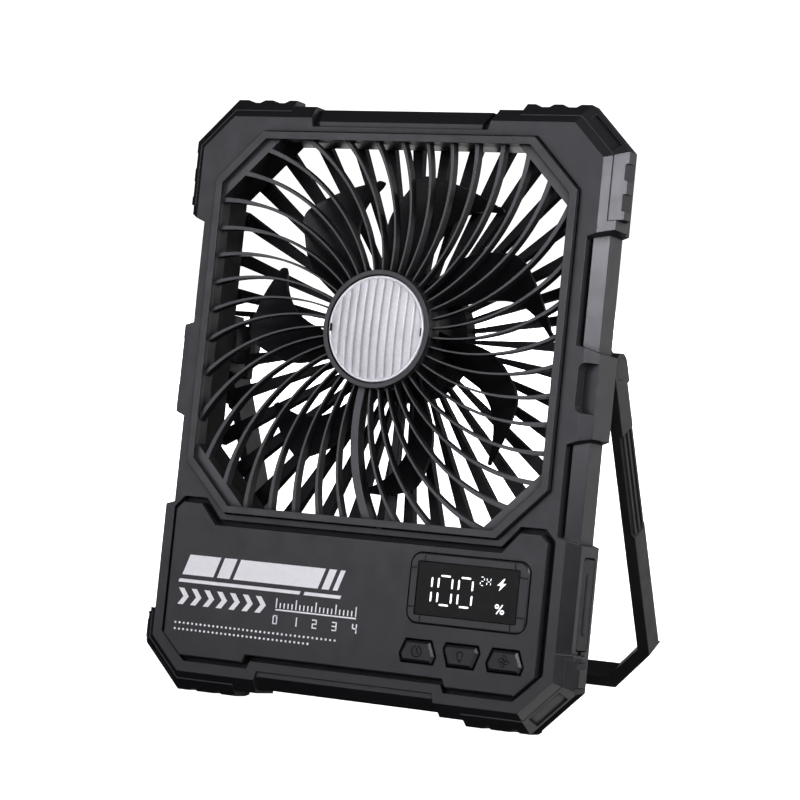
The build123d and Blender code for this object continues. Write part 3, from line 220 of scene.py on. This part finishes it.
M["rear_grille"] = plastic("rear_grille_black", (0.0046, 0.0046, 0.0054), (0.0069, 0.0069, 0.0077), (0.0092, 0.0092, 0.0100), rough=(0.52, 0.64), specular=0.23)
M["duct"] = plastic("duct_black", (0.0038, 0.0038, 0.0042), (0.0062, 0.0062, 0.0065), (0.0077, 0.0077, 0.0085), rough=(0.60, 0.7), specular=0.31)
# the duct's ceiling is smoother than its walls
tree = M["duct"].node_tree
bsdf = next(n for n in tree.nodes if n.type == "BSDF_PRINCIPLED")
patchy = bsdf.inputs["Roughness"].links[0].from_socket
geo = tree.nodes.new("ShaderNodeNewGeometry")
down = tree.nodes.new("ShaderNodeVectorMath")
down.operation = "DOT_PRODUCT"
down.inputs[1].default_value = (0.0, 0.0, -1.0)
tree.links.new(geo.outputs["Normal"], down.inputs[0])
sleek = tree.nodes.new("ShaderNodeMath")
tree.links.new(patchy, sleek.inputs[0])
tree.links.new(remap(tree, down.outputs["Value"], 0.0, -0.36, 0.78, 0.9), sleek.inputs[1])
tree.links.new(sleek.outputs["Value"], bsdf.inputs["Roughness"])
M["guard"] = plastic("guard_rubber", (0.0104, 0.0102, 0.0112), (0.0131, 0.0128, 0.0138), (0.0192, 0.0192, 0.0208), specular=0.39, rough=(0.34, 0.42), grain=1700.0, depth=0.0001, reach=0.003)
M["stand"] = plastic("stand_black", (0.0077, 0.0077, 0.0082), (0.0104, 0.0104, 0.0110), (0.0169, 0.0169, 0.0185), specular=0.39, rough=(0.38, 0.48), reach=0.004)
M["button"] = plastic("button_charcoal", (0.0092, 0.0091, 0.0098), (0.0115, 0.0114, 0.0122), (0.0200, 0.0200, 0.0215), rough=(0.38, 0.47), specular=0.35, reach=0.0012)
M["cover"] = plastic("cover_rubber", (0.0115, 0.0115, 0.0122), (0.0146, 0.0146, 0.0154), (0.0215, 0.0215, 0.0231), specular=0.39, rough=(0.46, 0.58), grain=1500.0, depth=0.0001, reach=0.0015)
M["fan"] = plastic("fan_black", (0.0050, 0.0050, 0.0056), (0.0069, 0.0069, 0.0077), (0.0108, 0.0108, 0.0115), specular=0.39, rough=(0.40, 0.50))
M["bezel"] = plastic("bezel_charcoal", (0.0115, 0.0113, 0.0123), (0.0142, 0.0139, 0.0151), (0.0246, 0.0246, 0.0262), specular=0.39, rough=(0.33, 0.41), reach=0.002)
M["hinge"] = plastic("hinge_black", (0.0077, 0.0077, 0.0082), (0.0108, 0.0108, 0.0114), (0.0169, 0.0169, 0.0185), specular=0.39, rough=(0.38, 0.50), reach=0.002)
M["cradle"] = plastic("cradle_grey", (0.10, 0.10, 0.105), (0.13, 0.13, 0.135), (0.17, 0.17, 0.175))
M["reflector"] = plastic("reflector_white", (0.72, 0.72, 0.73), (0.80, 0.80, 0.81), None, rough=(0.2, 0.3))
M["led"] = plastic("led_yellow", (0.72, 0.56, 0.16), (0.80, 0.66, 0.24), None, rough=(0.2, 0.3))
M["board"] = plastic("board_green", (0.010, 0.075, 0.030), (0.016, 0.100, 0.042), (0.10, 0.13, 0.06), rough=(0.32, 0.44), grain=900.0)
M["lamp_board"] = metal("lamp_board_aluminium", (0.70, 0.70, 0.72), (0.80, 0.80, 0.81), rough=(0.3, 0.45))
M["cell"] = plastic("cell_sleeve", (0.02, 0.10, 0.22), (0.03, 0.13, 0.27), (0.08, 0.2, 0.35), rough=(0.25, 0.35))
M["wire"] = plastic("wire_sleeve", (0.010, 0.010, 0.011), (0.016, 0.016, 0.017), None, rough=(0.4, 0.5))
M["steel"] = metal("bright_steel", (0.52, 0.52, 0.53), (0.66, 0.66, 0.67))
M["dark_steel"] = metal("dark_steel", (0.05, 0.05, 0.052), (0.09, 0.09, 0.094), rough=(0.32, 0.48))
M["stator"] = metal("stator_steel", (0.30, 0.30, 0.31), (0.42, 0.42, 0.43), brush=(1, 8, 8), rough=(0.35, 0.5))
M["magnet"] = plastic("magnet_ferrite", (0.03, 0.03, 0.032), (0.05, 0.05, 0.052), (0.08, 0.08, 0.082), rough=(0.5, 0.65), grain=900.0)
M["coil"] = metal("coil_copper", (0.55, 0.20, 0.06), (0.72, 0.30, 0.10), brush=(1, 6, 1), rough=(0.25, 0.4))
M["brass"] = metal("tube_brass", (0.55, 0.40, 0.14), (0.68, 0.52, 0.20))
M["module"] = plastic("module_black", (0.008, 0.008, 0.008), (0.012, 0.012, 0.012), None, rough=(0.3, 0.4))

# display window: dark smoked plastic with a soft gloss
mat, tree, bsdf = new_material("window_smoked")
vec = object_coords(tree)
tree.links.new(ramp(tree, noise(tree, vec, 60.0, 3.0), ((0.3, (0.0066, 0.0062, 0.0056)), (0.7, (0.0090, 0.0084, 0.0077)))), bsdf.inputs["Base Color"])
tree.links.new(remap(tree, noise(tree, vec, 400.0, 2.0), 0.16, 0.24), bsdf.inputs["Roughness"])
bsdf.inputs["Specular IOR Level"].default_value = 0.07
bump(tree, bsdf, noise(tree, vec, 300.0, 2.0), 0.05, 0.00002)
M["window"] = mat

# frosted lens: milky, lightly translucent, flutes carry the shape
mat, tree, bsdf = new_material("lens_frosted")
vec = object_coords(tree)
tree.links.new(ramp(tree, noise(tree, vec, 90.0, 3.0), ((0.3, (0.625, 0.625, 0.628)), (0.7, (0.69, 0.69, 0.693)))), bsdf.inputs["Base Color"])
tree.links.new(remap(tree, noise(tree, vec, 700.0, 2.0), 0.22, 0.34), bsdf.inputs["Roughness"])
bsdf.inputs["Subsurface Weight"].default_value = 0.25
bsdf.inputs["Subsurface Radius"].default_value = (0.002, 0.002, 0.002)
bsdf.inputs["Subsurface Scale"].default_value = 0.5
bsdf.inputs["Coat Weight"].default_value = 0.25
bsdf.inputs["Coat Roughness"].default_value = 0.12
bump(tree, bsdf, noise(tree, vec, 1600.0, 2.0), 0.08, 0.00004)
M["lens"] = mat

# polished rim of the lens
mat, tree, bsdf = new_material("lens_rim_clear")
vec = object_coords(tree)
tree.links.new(ramp(tree, noise(tree, vec, 120.0, 3.0), ((0.3, (0.86, 0.858, 0.875)), (0.7, (0.92, 0.918, 0.935)))), bsdf.inputs["Base Color"])
tree.links.new(remap(tree, noise(tree, vec, 500.0, 2.0), 0.10, 0.18), bsdf.inputs["Roughness"])
bsdf.inputs["Coat Weight"].default_value = 0.5
bsdf.inputs["Coat Roughness"].default_value = 0.06
bump(tree, bsdf, noise(tree, vec, 1200.0, 2.0), 0.05, 0.00003)
M["lens_rim"] = mat

# print: white pad-printed ink
mat, tree, bsdf = new_material("print_white")
vec = object_coords(tree)
tree.links.new(ramp(tree, noise(tree, vec, 500.0, 4.0, 0.7), ((0.25, (0.86, 0.86, 0.855)), (0.6, (0.93, 0.93, 0.925)))), bsdf.inputs["Base Color"])
tree.links.new(remap(tree, noise(tree, vec, 900.0, 2.0), 0.42, 0.55), bsdf.inputs["Roughness"])
bump(tree, bsdf, noise(tree, vec, 2400.0, 2.0), 0.15, 0.00003)
M["print"] = mat

# lit display segments
mat, tree, bsdf = new_material("segment_light")
vec = object_coords(tree)
glow = ramp(tree, noise(tree, vec, 300.0, 2.0), ((0.2, (0.86, 0.87, 0.88)), (0.8, (0.97, 0.98, 1.0))))
tree.links.new(glow, bsdf.inputs["Base Color"])
tree.links.new(glow, bsdf.inputs["Emission Color"])
bsdf.inputs["Emission Strength"].default_value = 0.95
bsdf.inputs["Roughness"].default_value = 0.5
M["segment"] = mat

# button icons: matt black ink on the caps
M["icon"] = plastic("icon_ink", (0.0031, 0.0031, 0.0035), (0.0046, 0.0046, 0.0050), None, rough=(0.62, 0.74), specular=0.08)

FINISH = {
    "front_housing": "shell", "control_panel": "panel", "front_grille": "grille", "rear_housing": "rear",
    "rear_grille": "rear_grille", "guard_top_right": "guard", "guard_top_left": "guard",
    "guard_bottom_right": "guard", "guard_bottom_left": "guard", "display_bezel": "bezel",
    "display_window": "window", "display_module": "module", "timer_button": "button", "lamp_button": "button",
    "fan_button": "button", "main_board": "board", "tact_switches": "dark_steel", "board_screws": "steel",
    "port_board": "board", "port_screws": "steel", "usb_a_socket": "steel", "usb_c_socket": "steel",
    "port_cover": "cover", "battery_cells": "cell", "battery_cradle": "cradle", "housing_screws": "dark_steel",
    "lamp_lens": "lens", "lamp_reflector": "reflector", "lamp_board": "lamp_board", "lamp_leds": "led",
    "lamp_wire": "wire", "bearing_tube": "brass", "bearings": "steel", "motor_board": "board",
    "motor_screws": "dark_steel", "motor_stator": "stator", "motor_coils": "coil", "motor_wires": "wire",
    "motor_shaft": "steel", "rotor_cup": "steel", "rotor_magnet": "magnet", "impeller": "fan",
    "stand_bail": "stand", "hinge_pins": "steel", "hinge_caps": "hinge", "hinge_bushes": "hinge",
    "air_duct": "duct",
}
for name, obj in nodes.items():
    obj.data.materials.clear()
    obj.data.materials.append(M[FINISH[name]])

# soft moulded edges on the plastic parts
ROUNDED = {
    "front_housing": 0.30, "control_panel": 0.20, "stand_bail": 0.45, "port_cover": 0.2, "rear_housing": 0.4,
}
for name, width in ROUNDED.items():
    obj = nodes[name]
    w = obj.modifiers.new("join", "WELD")
    w.merge_threshold = 0.000004
    d = obj.modifiers.new("planes", "DECIMATE")
    d.decimate_type = "DISSOLVE"
    d.angle_limit = math.radians(0.6)
    b = obj.modifiers.new("edges", "BEVEL")
    b.width = width * 0.001
    b.segments = 2
    b.limit_method = "ANGLE"
    b.angle_limit = math.radians(28)
    b.use_clamp_overlap = True
    b.harden_normals = True


# ------------------------------------------------------------------ mesh tools
def piece(name, bm, material, body, smooth=False):
    bmesh.ops.recalc_face_normals(bm, faces=bm.faces)
    me = bpy.data.meshes.new(name)
    bm.to_mesh(me)
    bm.free()
    if smooth:
        for p in me.polygons:
            p.use_smooth = True
    me.materials.append(M[material])
    obj = bpy.data.objects.new(name, me)
    scene.collection.objects.link(obj)
    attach(obj, body)
    return obj


def slab(bm, pts, y0, y1):
    """Flat plate with the outline pts (x, z), from depth y0 to y1."""
    n = len(pts)
    cx = sum(p[0] for p in pts) / n
    cz = sum(p[1] for p in pts) / n
    front = [bm.verts.new(at(x, y0, z)) for x, z in pts]
    back = [bm.verts.new(at(x, y1, z)) for x, z in pts]
    bm.faces.new(front)
    bm.faces.new(list(reversed(back)))
    for i in range(n):
        j = (i + 1) % n
        bm.faces.new((front[j], front[i], back[i], back[j]))


def ring(bm, cx, cz, r0, r1, y0, y1, a0=0.0, a1=360.0, steps=48):
    """Annulus or arc band."""
    full = abs(a1 - a0) >= 359.9
    count = steps if full else steps + 1
    loops = []
    for r, y in ((r1, y0), (r0, y0), (r0, y1), (r1, y1)):
        loops.append([bm.verts.new(at(cx + r * math.cos(math.radians(a0 + (a1 - a0) * i / steps)), y,
                                      cz + r * math.sin(math.radians(a0 + (a1 - a0) * i / steps))))
                      for i in range(count)])
    span = range(count) if full else range(count - 1)
    for k in range(4):
        a, b = loops[k], loops[(k + 1) % 4]
        for i in span:
            j = (i + 1) % count
            bm.faces.new((a[i], a[j], b[j], b[i]))
    if not full:
        bm.faces.new([l[0] for l in loops])
        bm.faces.new([l[-1] for l in reversed(loops)])


def loop(bm, cx, cz, a, b, turn, w, y0, y1, steps=28):
    """Oval band with half axes a and b, turned in its plane."""
    c, s = math.cos(turn), math.sin(turn)
    loops = []
    for d, y in ((w / 2, y0), (-w / 2, y0), (-w / 2, y1), (w / 2, y1)):
        pts = [((a + d) * math.cos(2 * math.pi * i / steps), (b + d) * math.sin(2 * math.pi * i / steps)) for i in range(steps)]
        loops.append([bm.verts.new(at(cx + c * u - s * v, y, cz + s * u + c * v)) for u, v in pts])
    for k in range(4):
        p, q = loops[k], loops[(k + 1) % 4]
        for i in range(steps):
            j = (i + 1) % steps
            bm.faces.new((p[i], p[j], q[j], q[i]))


# ------------------------------------------------------------------ lamp lens
LENS_R, FLUTE_R = 22.1, 20.5
RIM_Y, SAG = -2.2, 1.6
BIG = (LENS_R ** 2 + SAG ** 2) / (2 * SAG)
FLUTES, CROWN, GROOVE, HALF = 11, 0.38, 0.7, 0.09
ACROSS = (0.0, 0.045, 0.09, 0.2, 0.35, 0.5, 0.65, 0.8, 0.91, 0.955)


def dome(r):
    return RIM_Y - SAG + BIG - math.sqrt(BIG * BIG - r * r)


bm = bmesh.new()
cols, rows = len(ACROSS) * FLUTES, 44
pitch = 2 * FLUTE_R / FLUTES


def column(i):
    """Place across the lens of column i, and how far it is along its flute."""
    k, m = divmod(i, len(ACROSS))
    x = -FLUTE_R + pitch * (k + ACROSS[m])
    return max(-FLUTE_R * 0.9992, min(FLUTE_R * 0.9992, x)), ACROSS[m]


grid = []
for i in range(cols + 1):
    x, t = column(i)
    half = math.sqrt(FLUTE_R ** 2 - x * x)
    near = min(t, 1.0 - t)
    col = []
    for j in range(rows + 1):
        z = half * math.sin(math.radians(-90 + 180.0 * j / rows))
        r = math.hypot(x, z)
        fade = min(1.0, (FLUTE_R - r) / 0.9)
        depth = CROWN * (2 * t - 1) ** 2 + GROOVE * max(0.0, 1.0 - near / HALF)
        col.append(bm.verts.new(at(x, dome(r) + depth * (0.15 + 0.85 * fade) + 0.35, HUB_Z + z)))
    grid.append(col)
for i in range(cols):
    for j in range(rows):
        bm.faces.new((grid[i][j], grid[i + 1][j], grid[i + 1][j + 1], grid[i][j + 1]))
edge_loop = [grid[i][0] for i in range(cols + 1)] + grid[cols][1:] + \
            [grid[i][rows] for i in range(cols - 1, -1, -1)] + [grid[0][j] for j in range(rows - 1, 0, -1)]
angles = []
for i in range(cols + 1):
    x = column(i)[0]
    angles.append(math.atan2(-math.sqrt(FLUTE_R ** 2 - x * x), x))
side = [math.atan2(math.sqrt(FLUTE_R ** 2 - (FLUTE_R * 0.9992) ** 2) * math.sin(math.radians(-90 + 180.0 * j / rows)), FLUTE_R * 0.9992)
        for j in range(rows + 1)]
angles += side[1:]
for i in range(cols - 1, -1, -1):
    x = column(i)[0]
    angles.append(math.atan2(math.sqrt(FLUTE_R ** 2 - x * x), x))
angles += [math.pi - side[j] for j in range(rows - 1, 0, -1)]
prev = edge_loop
profile = ((20.60, dome(20.60) + 0.75), (20.72, dome(20.72) + 0.75), (20.80, dome(20.80) + 0.02), (21.0, dome(21.0) - 0.10), (21.35, dome(21.35) - 0.06),
           (21.62, dome(21.62) + 0.10), (21.75, RIM_Y + 0.45), (21.75, RIM_Y + 1.8), (20.7, RIM_Y + 1.8), (14.0, RIM_Y + 1.05), (7.0, RIM_Y + 0.5), (1.0, RIM_Y + 0.3))
for r, y in profile:
    cur = [bm.verts.new(at(r * math.cos(a), y, HUB_Z + r * math.sin(a))) for a in angles]
    n = len(cur)
    for i in range(n):
        j = (i + 1) % n
        bm.faces.new((prev[i], prev[j], cur[j], cur[i]))
    prev = cur
bm.faces.new(prev)
lens = piece("lamp_lens_fluted", bm, "lens", "body", smooth=True)
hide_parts("lamp_lens")
lens.data.materials.append(M["lens_rim"])
hub = at(0, 0, HUB_Z)
axis = (at(0, 1, HUB_Z) - hub).normalized()
for poly in lens.data.polygons:
    off = poly.center - hub
    if (off - axis * off.dot(axis)).length > 0.02076:
        poly.material_index = 1

# two small dark clips on the lens rim
bm = bmesh.new()
for a in (-1.0, 181.0):
    ring(bm, 0, HUB_Z, 20.45, 21.0, dome(20.7) - 0.16, dome(20.7) + 0.5, a - 4.6, a + 4.6, 8)
piece("lens_clips", bm, "icon", "body")

# ------------------------------------------------------------------ display
FRONT = -2.9
bm = bmesh.new()


def seg(bm, x0, z0, x1, z1, w, cut=0.5, y0=FRONT - 0.05, y1=FRONT + 0.1):
    """One bar of a digit between two points, with chamfered ends."""
    d = Vector((x1 - x0, z1 - z0)).normalized()
    n = Vector((-d.y, d.x)) * (w / 2)
    a, b = Vector((x0, z0)), Vector((x1, z1))
    pts = [a + d * cut + n, a + n * 0.3, a - n * 0.3 + d * 0.15, a + d * cut - n, b - d * cut - n, b - n * 0.3, b + n * 0.3 - d * 0.15, b - d * cut + n]
    slab(bm, [(p.x, p.y) for p in pts], y0, y1)


def digit(bm, x, z, w, h, segs, t, gap):
    """Seven-segment figure; x, z is its lower left corner. Bars a to g."""
    m = z + h / 2
    bars = {"a": (x + gap, z + h, x + w - gap, z + h), "d": (x + gap, z, x + w - gap, z), "g": (x + gap, m, x + w - gap, m),
            "f": (x, m + gap, x, z + h - gap), "b": (x + w, m + gap, x + w, z + h - gap),
            "e": (x, z + gap, x, m - gap), "c": (x + w, z + gap, x + w, m - gap)}
    for s in segs:
        seg(bm, *bars[s], t, cut=t * 0.5)


for x, bars_on in ((31.26, "bc"), (40.21, "abcdef"), (49.16, "abcdef")):
    digit(bm, x, -77.75, 6.05, 11.5, bars_on, 0.76, 0.85)
digit(bm, 58.41, -68.4, 1.65, 3.3, "abged", 0.30, 0.28)
digit(bm, 61.26, -68.4, 1.65, 3.3, "fbgec", 0.30, 0.28)
bolt = [(0.9, 2.55), (-1.9, -0.4), (-0.35, -0.4), (-1.0, -2.55), (1.9, 0.55), (0.35, 0.55), (1.35, 2.55)]
slab(bm, [(67.76 + x, -67.45 + z) for x, z in bolt], FRONT - 0.05, FRONT + 0.1)
ring(bm, 66.61, -76.0, 0.42, 0.92, FRONT - 0.05, FRONT + 0.1, steps=20)
ring(bm, 69.01, -78.1, 0.42, 0.92, FRONT - 0.05, FRONT + 0.1, steps=20)
seg(bm, 66.56, -79.0, 69.06, -75.1, 0.5, cut=0.1)
piece("display_digits", bm, "segment", "body")

# ------------------------------------------------------------------ button icons
CAP = -3.4
BZ = -97.0
bm = bmesh.new()
cx = 33.66
ring(bm, cx, BZ, 1.95, 2.35, CAP - 0.04, CAP + 0.06, 100, 440, 40)
seg(bm, cx, BZ + 0.2, cx, BZ + 1.5, 0.4, cut=0.05, y0=CAP - 0.04, y1=CAP + 0.06)
seg(bm, cx - 0.1, BZ + 0.1, cx + 1.0, BZ - 0.9, 0.4, cut=0.05, y0=CAP - 0.04, y1=CAP + 0.06)
piece("timer_icon", bm, "icon", "timer_button")
bm = bmesh.new()
cx = 52.81
ring(bm, cx, BZ + 0.55, 1.05, 1.45, CAP - 0.04, CAP + 0.06, -55, 235, 32)
seg(bm, cx - 0.75, BZ - 0.7, cx - 0.75, BZ - 1.5, 0.38, cut=0.05, y0=CAP - 0.04, y1=CAP + 0.06)
seg(bm, cx + 0.75, BZ - 0.7, cx + 0.75, BZ - 1.5, 0.38, cut=0.05, y0=CAP - 0.04, y1=CAP + 0.06)
seg(bm, cx - 0.9, BZ - 1.65, cx + 0.9, BZ - 1.65, 0.38, cut=0.05, y0=CAP - 0.04, y1=CAP + 0.06)
seg(bm, cx - 0.55, BZ - 2.25, cx + 0.55, BZ - 2.25, 0.38, cut=0.05, y0=CAP - 0.04, y1=CAP + 0.06)
piece("lamp_icon", bm, "icon", "lamp_button")
bm = bmesh.new()
cx = 71.96
for k in range(4):
    a = math.radians(75 + 90 * k)
    loop(bm, cx + 1.38 * math.cos(a), BZ + 1.38 * math.sin(a), 1.18, 0.62, a + math.radians(38), 0.30, CAP - 0.04, CAP + 0.06)
piece("fan_icon", bm, "icon", "fan_button")

# ------------------------------------------------------------------ panel print
INK0, INK1 = -2.35, -2.2
bm = bmesh.new()


def leaned(x, z, w, h, k=0.35):
    """Parallelogram with its lower left corner at x, z."""
    return [(x, z), (x + w, z), (x + w + k * h, z + h), (x + k * h, z + h)]


# airflow bands: long slanted bars, stepped in length
for x, z, w, h in ((-79.0, -76.6, 15.0, 8.4), (-62.2, -76.6, 6.0, 8.4), (-54.4, -76.6, 40.0, 8.4), (-12.6, -76.6, 3.4, 8.4), (-7.4, -76.6, 2.2, 8.4)):
    slab(bm, leaned(x, z, w, h), INK0, INK1)
slab(bm, leaned(-80.6, -79.8, 58.0, 1.4), INK0, INK1)
slab(bm, leaned(-20.6, -79.8, 17.0, 1.4), INK0, INK1)
# chevrons
for k in range(7):
    x = -80.0 + 6.2 * k
    slab(bm, [(x, -89.0), (x + 2.6, -89.0), (x + 5.2, -85.6), (x + 2.6, -82.2), (x, -82.2), (x + 2.6, -85.6)], INK0, INK1)
# level scale with plain numbers
for k in range(21):
    x = -33.0 + 1.85 * k
    slab(bm, leaned(x, -86.2, 0.55, 4.0 if k % 5 == 0 else 2.2, 0.0), INK0, INK1)
slab(bm, leaned(-33.0, -87.2, 37.6, 0.6, 0.0), INK0, INK1)
NUM = {"0": "abcdef", "1": "bc", "2": "abged", "3": "abgcd", "4": "fgbc"}
for k, n in enumerate("01234"):
    x, z, w, h, t = -34.0 + 9.25 * k + 0.4, -92.6, 1.7, 3.2, 0.55
    m = z + h / 2
    bars = {"a": (x, z + h, x + w, z + h), "d": (x, z, x + w, z), "g": (x, m, x + w, m), "f": (x, m, x, z + h),
            "b": (x + w, m, x + w, z + h), "e": (x, z, x, m), "c": (x + w, z, x + w, m)}
    for s in NUM[n]:
        x0, z0, x1, z1 = bars[s]
        slab(bm, [(min(x0, x1) - t / 2, min(z0, z1) - t / 2), (max(x0, x1) + t / 2, min(z0, z1) - t / 2),
                  (max(x0, x1) + t / 2, max(z0, z1) + t / 2), (min(x0, x1) - t / 2, max(z0, z1) + t / 2)], INK0, INK1)
# dotted rows
for r in range(2):
    for k in range(38 - 6 * r):
        x, z = -80.0 + 2.05 * k, -96.6 - 2.6 * r
        slab(bm, [(x + 0.5 * math.cos(math.radians(45 * q)), z + 0.5 * math.sin(math.radians(45 * q))) for q in range(8)], INK0, INK1)
piece("panel_print", bm, "print", "body")

# ------------------------------------------------------------------ stage
bm = bmesh.new()
rings = []
for r in (0.0, 0.4, 1.0, 2.5, 6.0):
    if r == 0.0:
        rings.append([bm.verts.new((0, 0, 0))])
    else:
        rings.append([bm.verts.new((r * math.cos(2 * math.pi * i / 64), r * math.sin(2 * math.pi * i / 64), 0)) for i in range(64)])
for i in range(64):
    j = (i + 1) % 64
    bm.faces.new((rings[0][0], rings[1][i], rings[1][j]))
    for k in range(1, 4):
        bm.faces.new((rings[k][i], rings[k + 1][i], rings[k + 1][j], rings[k][j]))
me = bpy.data.meshes.new("floor")
bm.to_mesh(me)
bm.free()
floor = bpy.data.objects.new("floor", me)
floor.location = (0, 0, -0.0004)
scene.collection.objects.link(floor)
mat, tree, bsdf = new_material("floor_white")
vec = object_coords(tree)
tone = ramp(tree, noise(tree, vec, 6.0, 3.0), ((0.3, (0.93, 0.93, 0.93)), (0.7, (0.96, 0.96, 0.96))))
tree.links.new(tone, bsdf.inputs["Base Color"])
tree.links.new(tone, bsdf.inputs["Emission Color"])
bsdf.inputs["Emission Strength"].default_value = 1.2
bsdf.inputs["Roughness"].default_value = 0.9
bsdf.inputs["Specular IOR Level"].default_value = 0.1
me.materials.append(mat)
floor.visible_diffuse = False
floor.visible_glossy = False

bm = bmesh.new()
tiers = []
for k in range(13):
    up = math.radians(90.0 * k / 12)
    if k == 12:
        tiers.append([bm.verts.new((0, 0, 6.0))])
    else:
        tiers.append([bm.verts.new((6.0 * math.cos(up) * math.cos(2 * math.pi * i / 64), 6.0 * math.cos(up) * math.sin(2 * math.pi * i / 64),
                                    6.0 * math.sin(up))) for i in range(64)])
for k in range(12):
    for i in range(64):
        j = (i + 1) % 64
        if k == 11:
            bm.faces.new((tiers[k][j], tiers[k][i], tiers[12][0]))
        else:
            bm.faces.new((tiers[k][j], tiers[k][i], tiers[k + 1][i], tiers[k + 1][j]))
dome_me = bpy.data.meshes.new("backdrop")
bm.to_mesh(dome_me)
bm.free()
for poly in dome_me.polygons:
    poly.use_smooth = True
dome_me.materials.append(mat)
backdrop = bpy.data.objects.new("backdrop", dome_me)
backdrop.location = (0, 0, -0.03)
scene.collection.objects.link(backdrop)
backdrop.visible_diffuse = False
backdrop.visible_glossy = False
backdrop.visible_transmission = False
backdrop.visible_shadow = False

# ------------------------------------------------------------------ light
world = bpy.data.worlds.new("studio")
world.use_nodes = True
wt = world.node_tree
wt.nodes.clear()
wout = wt.nodes.new("ShaderNodeOutputWorld")
bg = wt.nodes.new("ShaderNodeBackground")
wtc = wt.nodes.new("ShaderNodeTexCoord")
total = None
# dim room, with pale patches: (direction, angle of full tone, angle where it has faded, tone)
for toward, near, far, tone in (((0.0, 0.0, 1.0), 0.0, 179.0, 0.035),
                                ((0.50, 0.86, 0.03), 8.0, 34.0, 0.62),
                                ((0.42, -0.533, -0.733), 10.0, 34.0, 2.0),
                                ((-0.45, 0.86, -0.22), 6.0, 22.0, 0.6)):
    dot = wt.nodes.new("ShaderNodeVectorMath")
    dot.operation = "DOT_PRODUCT"
    dot.inputs[1].default_value = Vector(toward).normalized()
    wt.links.new(wtc.outputs["Generated"], dot.inputs[0])
    patch = wt.nodes.new("ShaderNodeMapRange")
    patch.interpolation_type = "SMOOTHSTEP"
    patch.inputs["From Min"].default_value = math.cos(math.radians(far))
    patch.inputs["From Max"].default_value = math.cos(math.radians(near))
    patch.inputs["To Min"].default_value = 0.0
    patch.inputs["To Max"].default_value = tone
    wt.links.new(dot.outputs["Value"], patch.inputs["Value"])
    if total is None:
        total = patch.outputs["Result"]
    else:
        plus = wt.nodes.new("ShaderNodeMath")
        wt.links.new(total, plus.inputs[0])
        wt.links.new(patch.outputs["Result"], plus.inputs[1])
        total = plus.outputs["Value"]
wt.links.new(total, bg.inputs["Color"])
bg.inputs["Strength"].default_value = 1.25
wt.links.new(bg.outputs["Background"], wout.inputs["Surface"])
scene.world = world


def area(name, loc, target, size, power, colour=(1, 1, 1), size_y=None):
    data = bpy.data.lights.new(name, "AREA")
    data.energy = power
    data.color = colour
    data.shape = "RECTANGLE"
    data.size = size
    data.size_y = size_y or size
    obj = bpy.data.objects.new(name, data)
    obj.location = loc
    obj.rotation_euler = (Vector(target) - Vector(loc)).to_track_quat("-Z", "Y").to_euler()
    scene.collection.objects.link(obj)
    return obj


COOL = (1.0, 0.985, 1.075)
area("card_left", (-0.64, -1.46, 0.66), (0, 0, 0.13), 1.2, 9.4, COOL, 0.85)
area("strip_right", (0.47, -0.10, 0.285), (0.10, 0, 0.17), 0.36, 2.4, COOL, 0.12)
area("key_front", (0.75, -1.35, 0.75), (0, 0, 0.12), 0.4, 8.0, COOL, 0.4)
rear = area("back_soft", (-0.4, 1.5, 0.55), (0, 0, 0.12), 0.9, 26.0, COOL, 0.7)
rear.visible_glossy = False

# ------------------------------------------------------------------ camera
cam = bpy.data.cameras.new("camera")
cam.lens = 124.88535
cam.sensor_width = 36.0
cam.sensor_fit = "HORIZONTAL"
cam.clip_start = 0.05
cam.clip_end = 50.0
cam_obj = bpy.data.objects.new("camera", cam)
cam_obj.matrix_world = Matrix(((0.882591, -0.062551, 0.465961, 0.533692),
                               (0.470131, 0.110982, -0.875591, -1.010149),
                               (0.003056, 0.991852, 0.127359, 0.269381),
                               (0, 0, 0, 1)))
scene.collection.objects.link(cam_obj)
scene.camera = cam_obj
scene.view_settings.view_transform = "Standard"
scene.view_settings.look = "None"
scene.view_settings.exposure = 0.0
scene.view_settings.gamma = 1.0
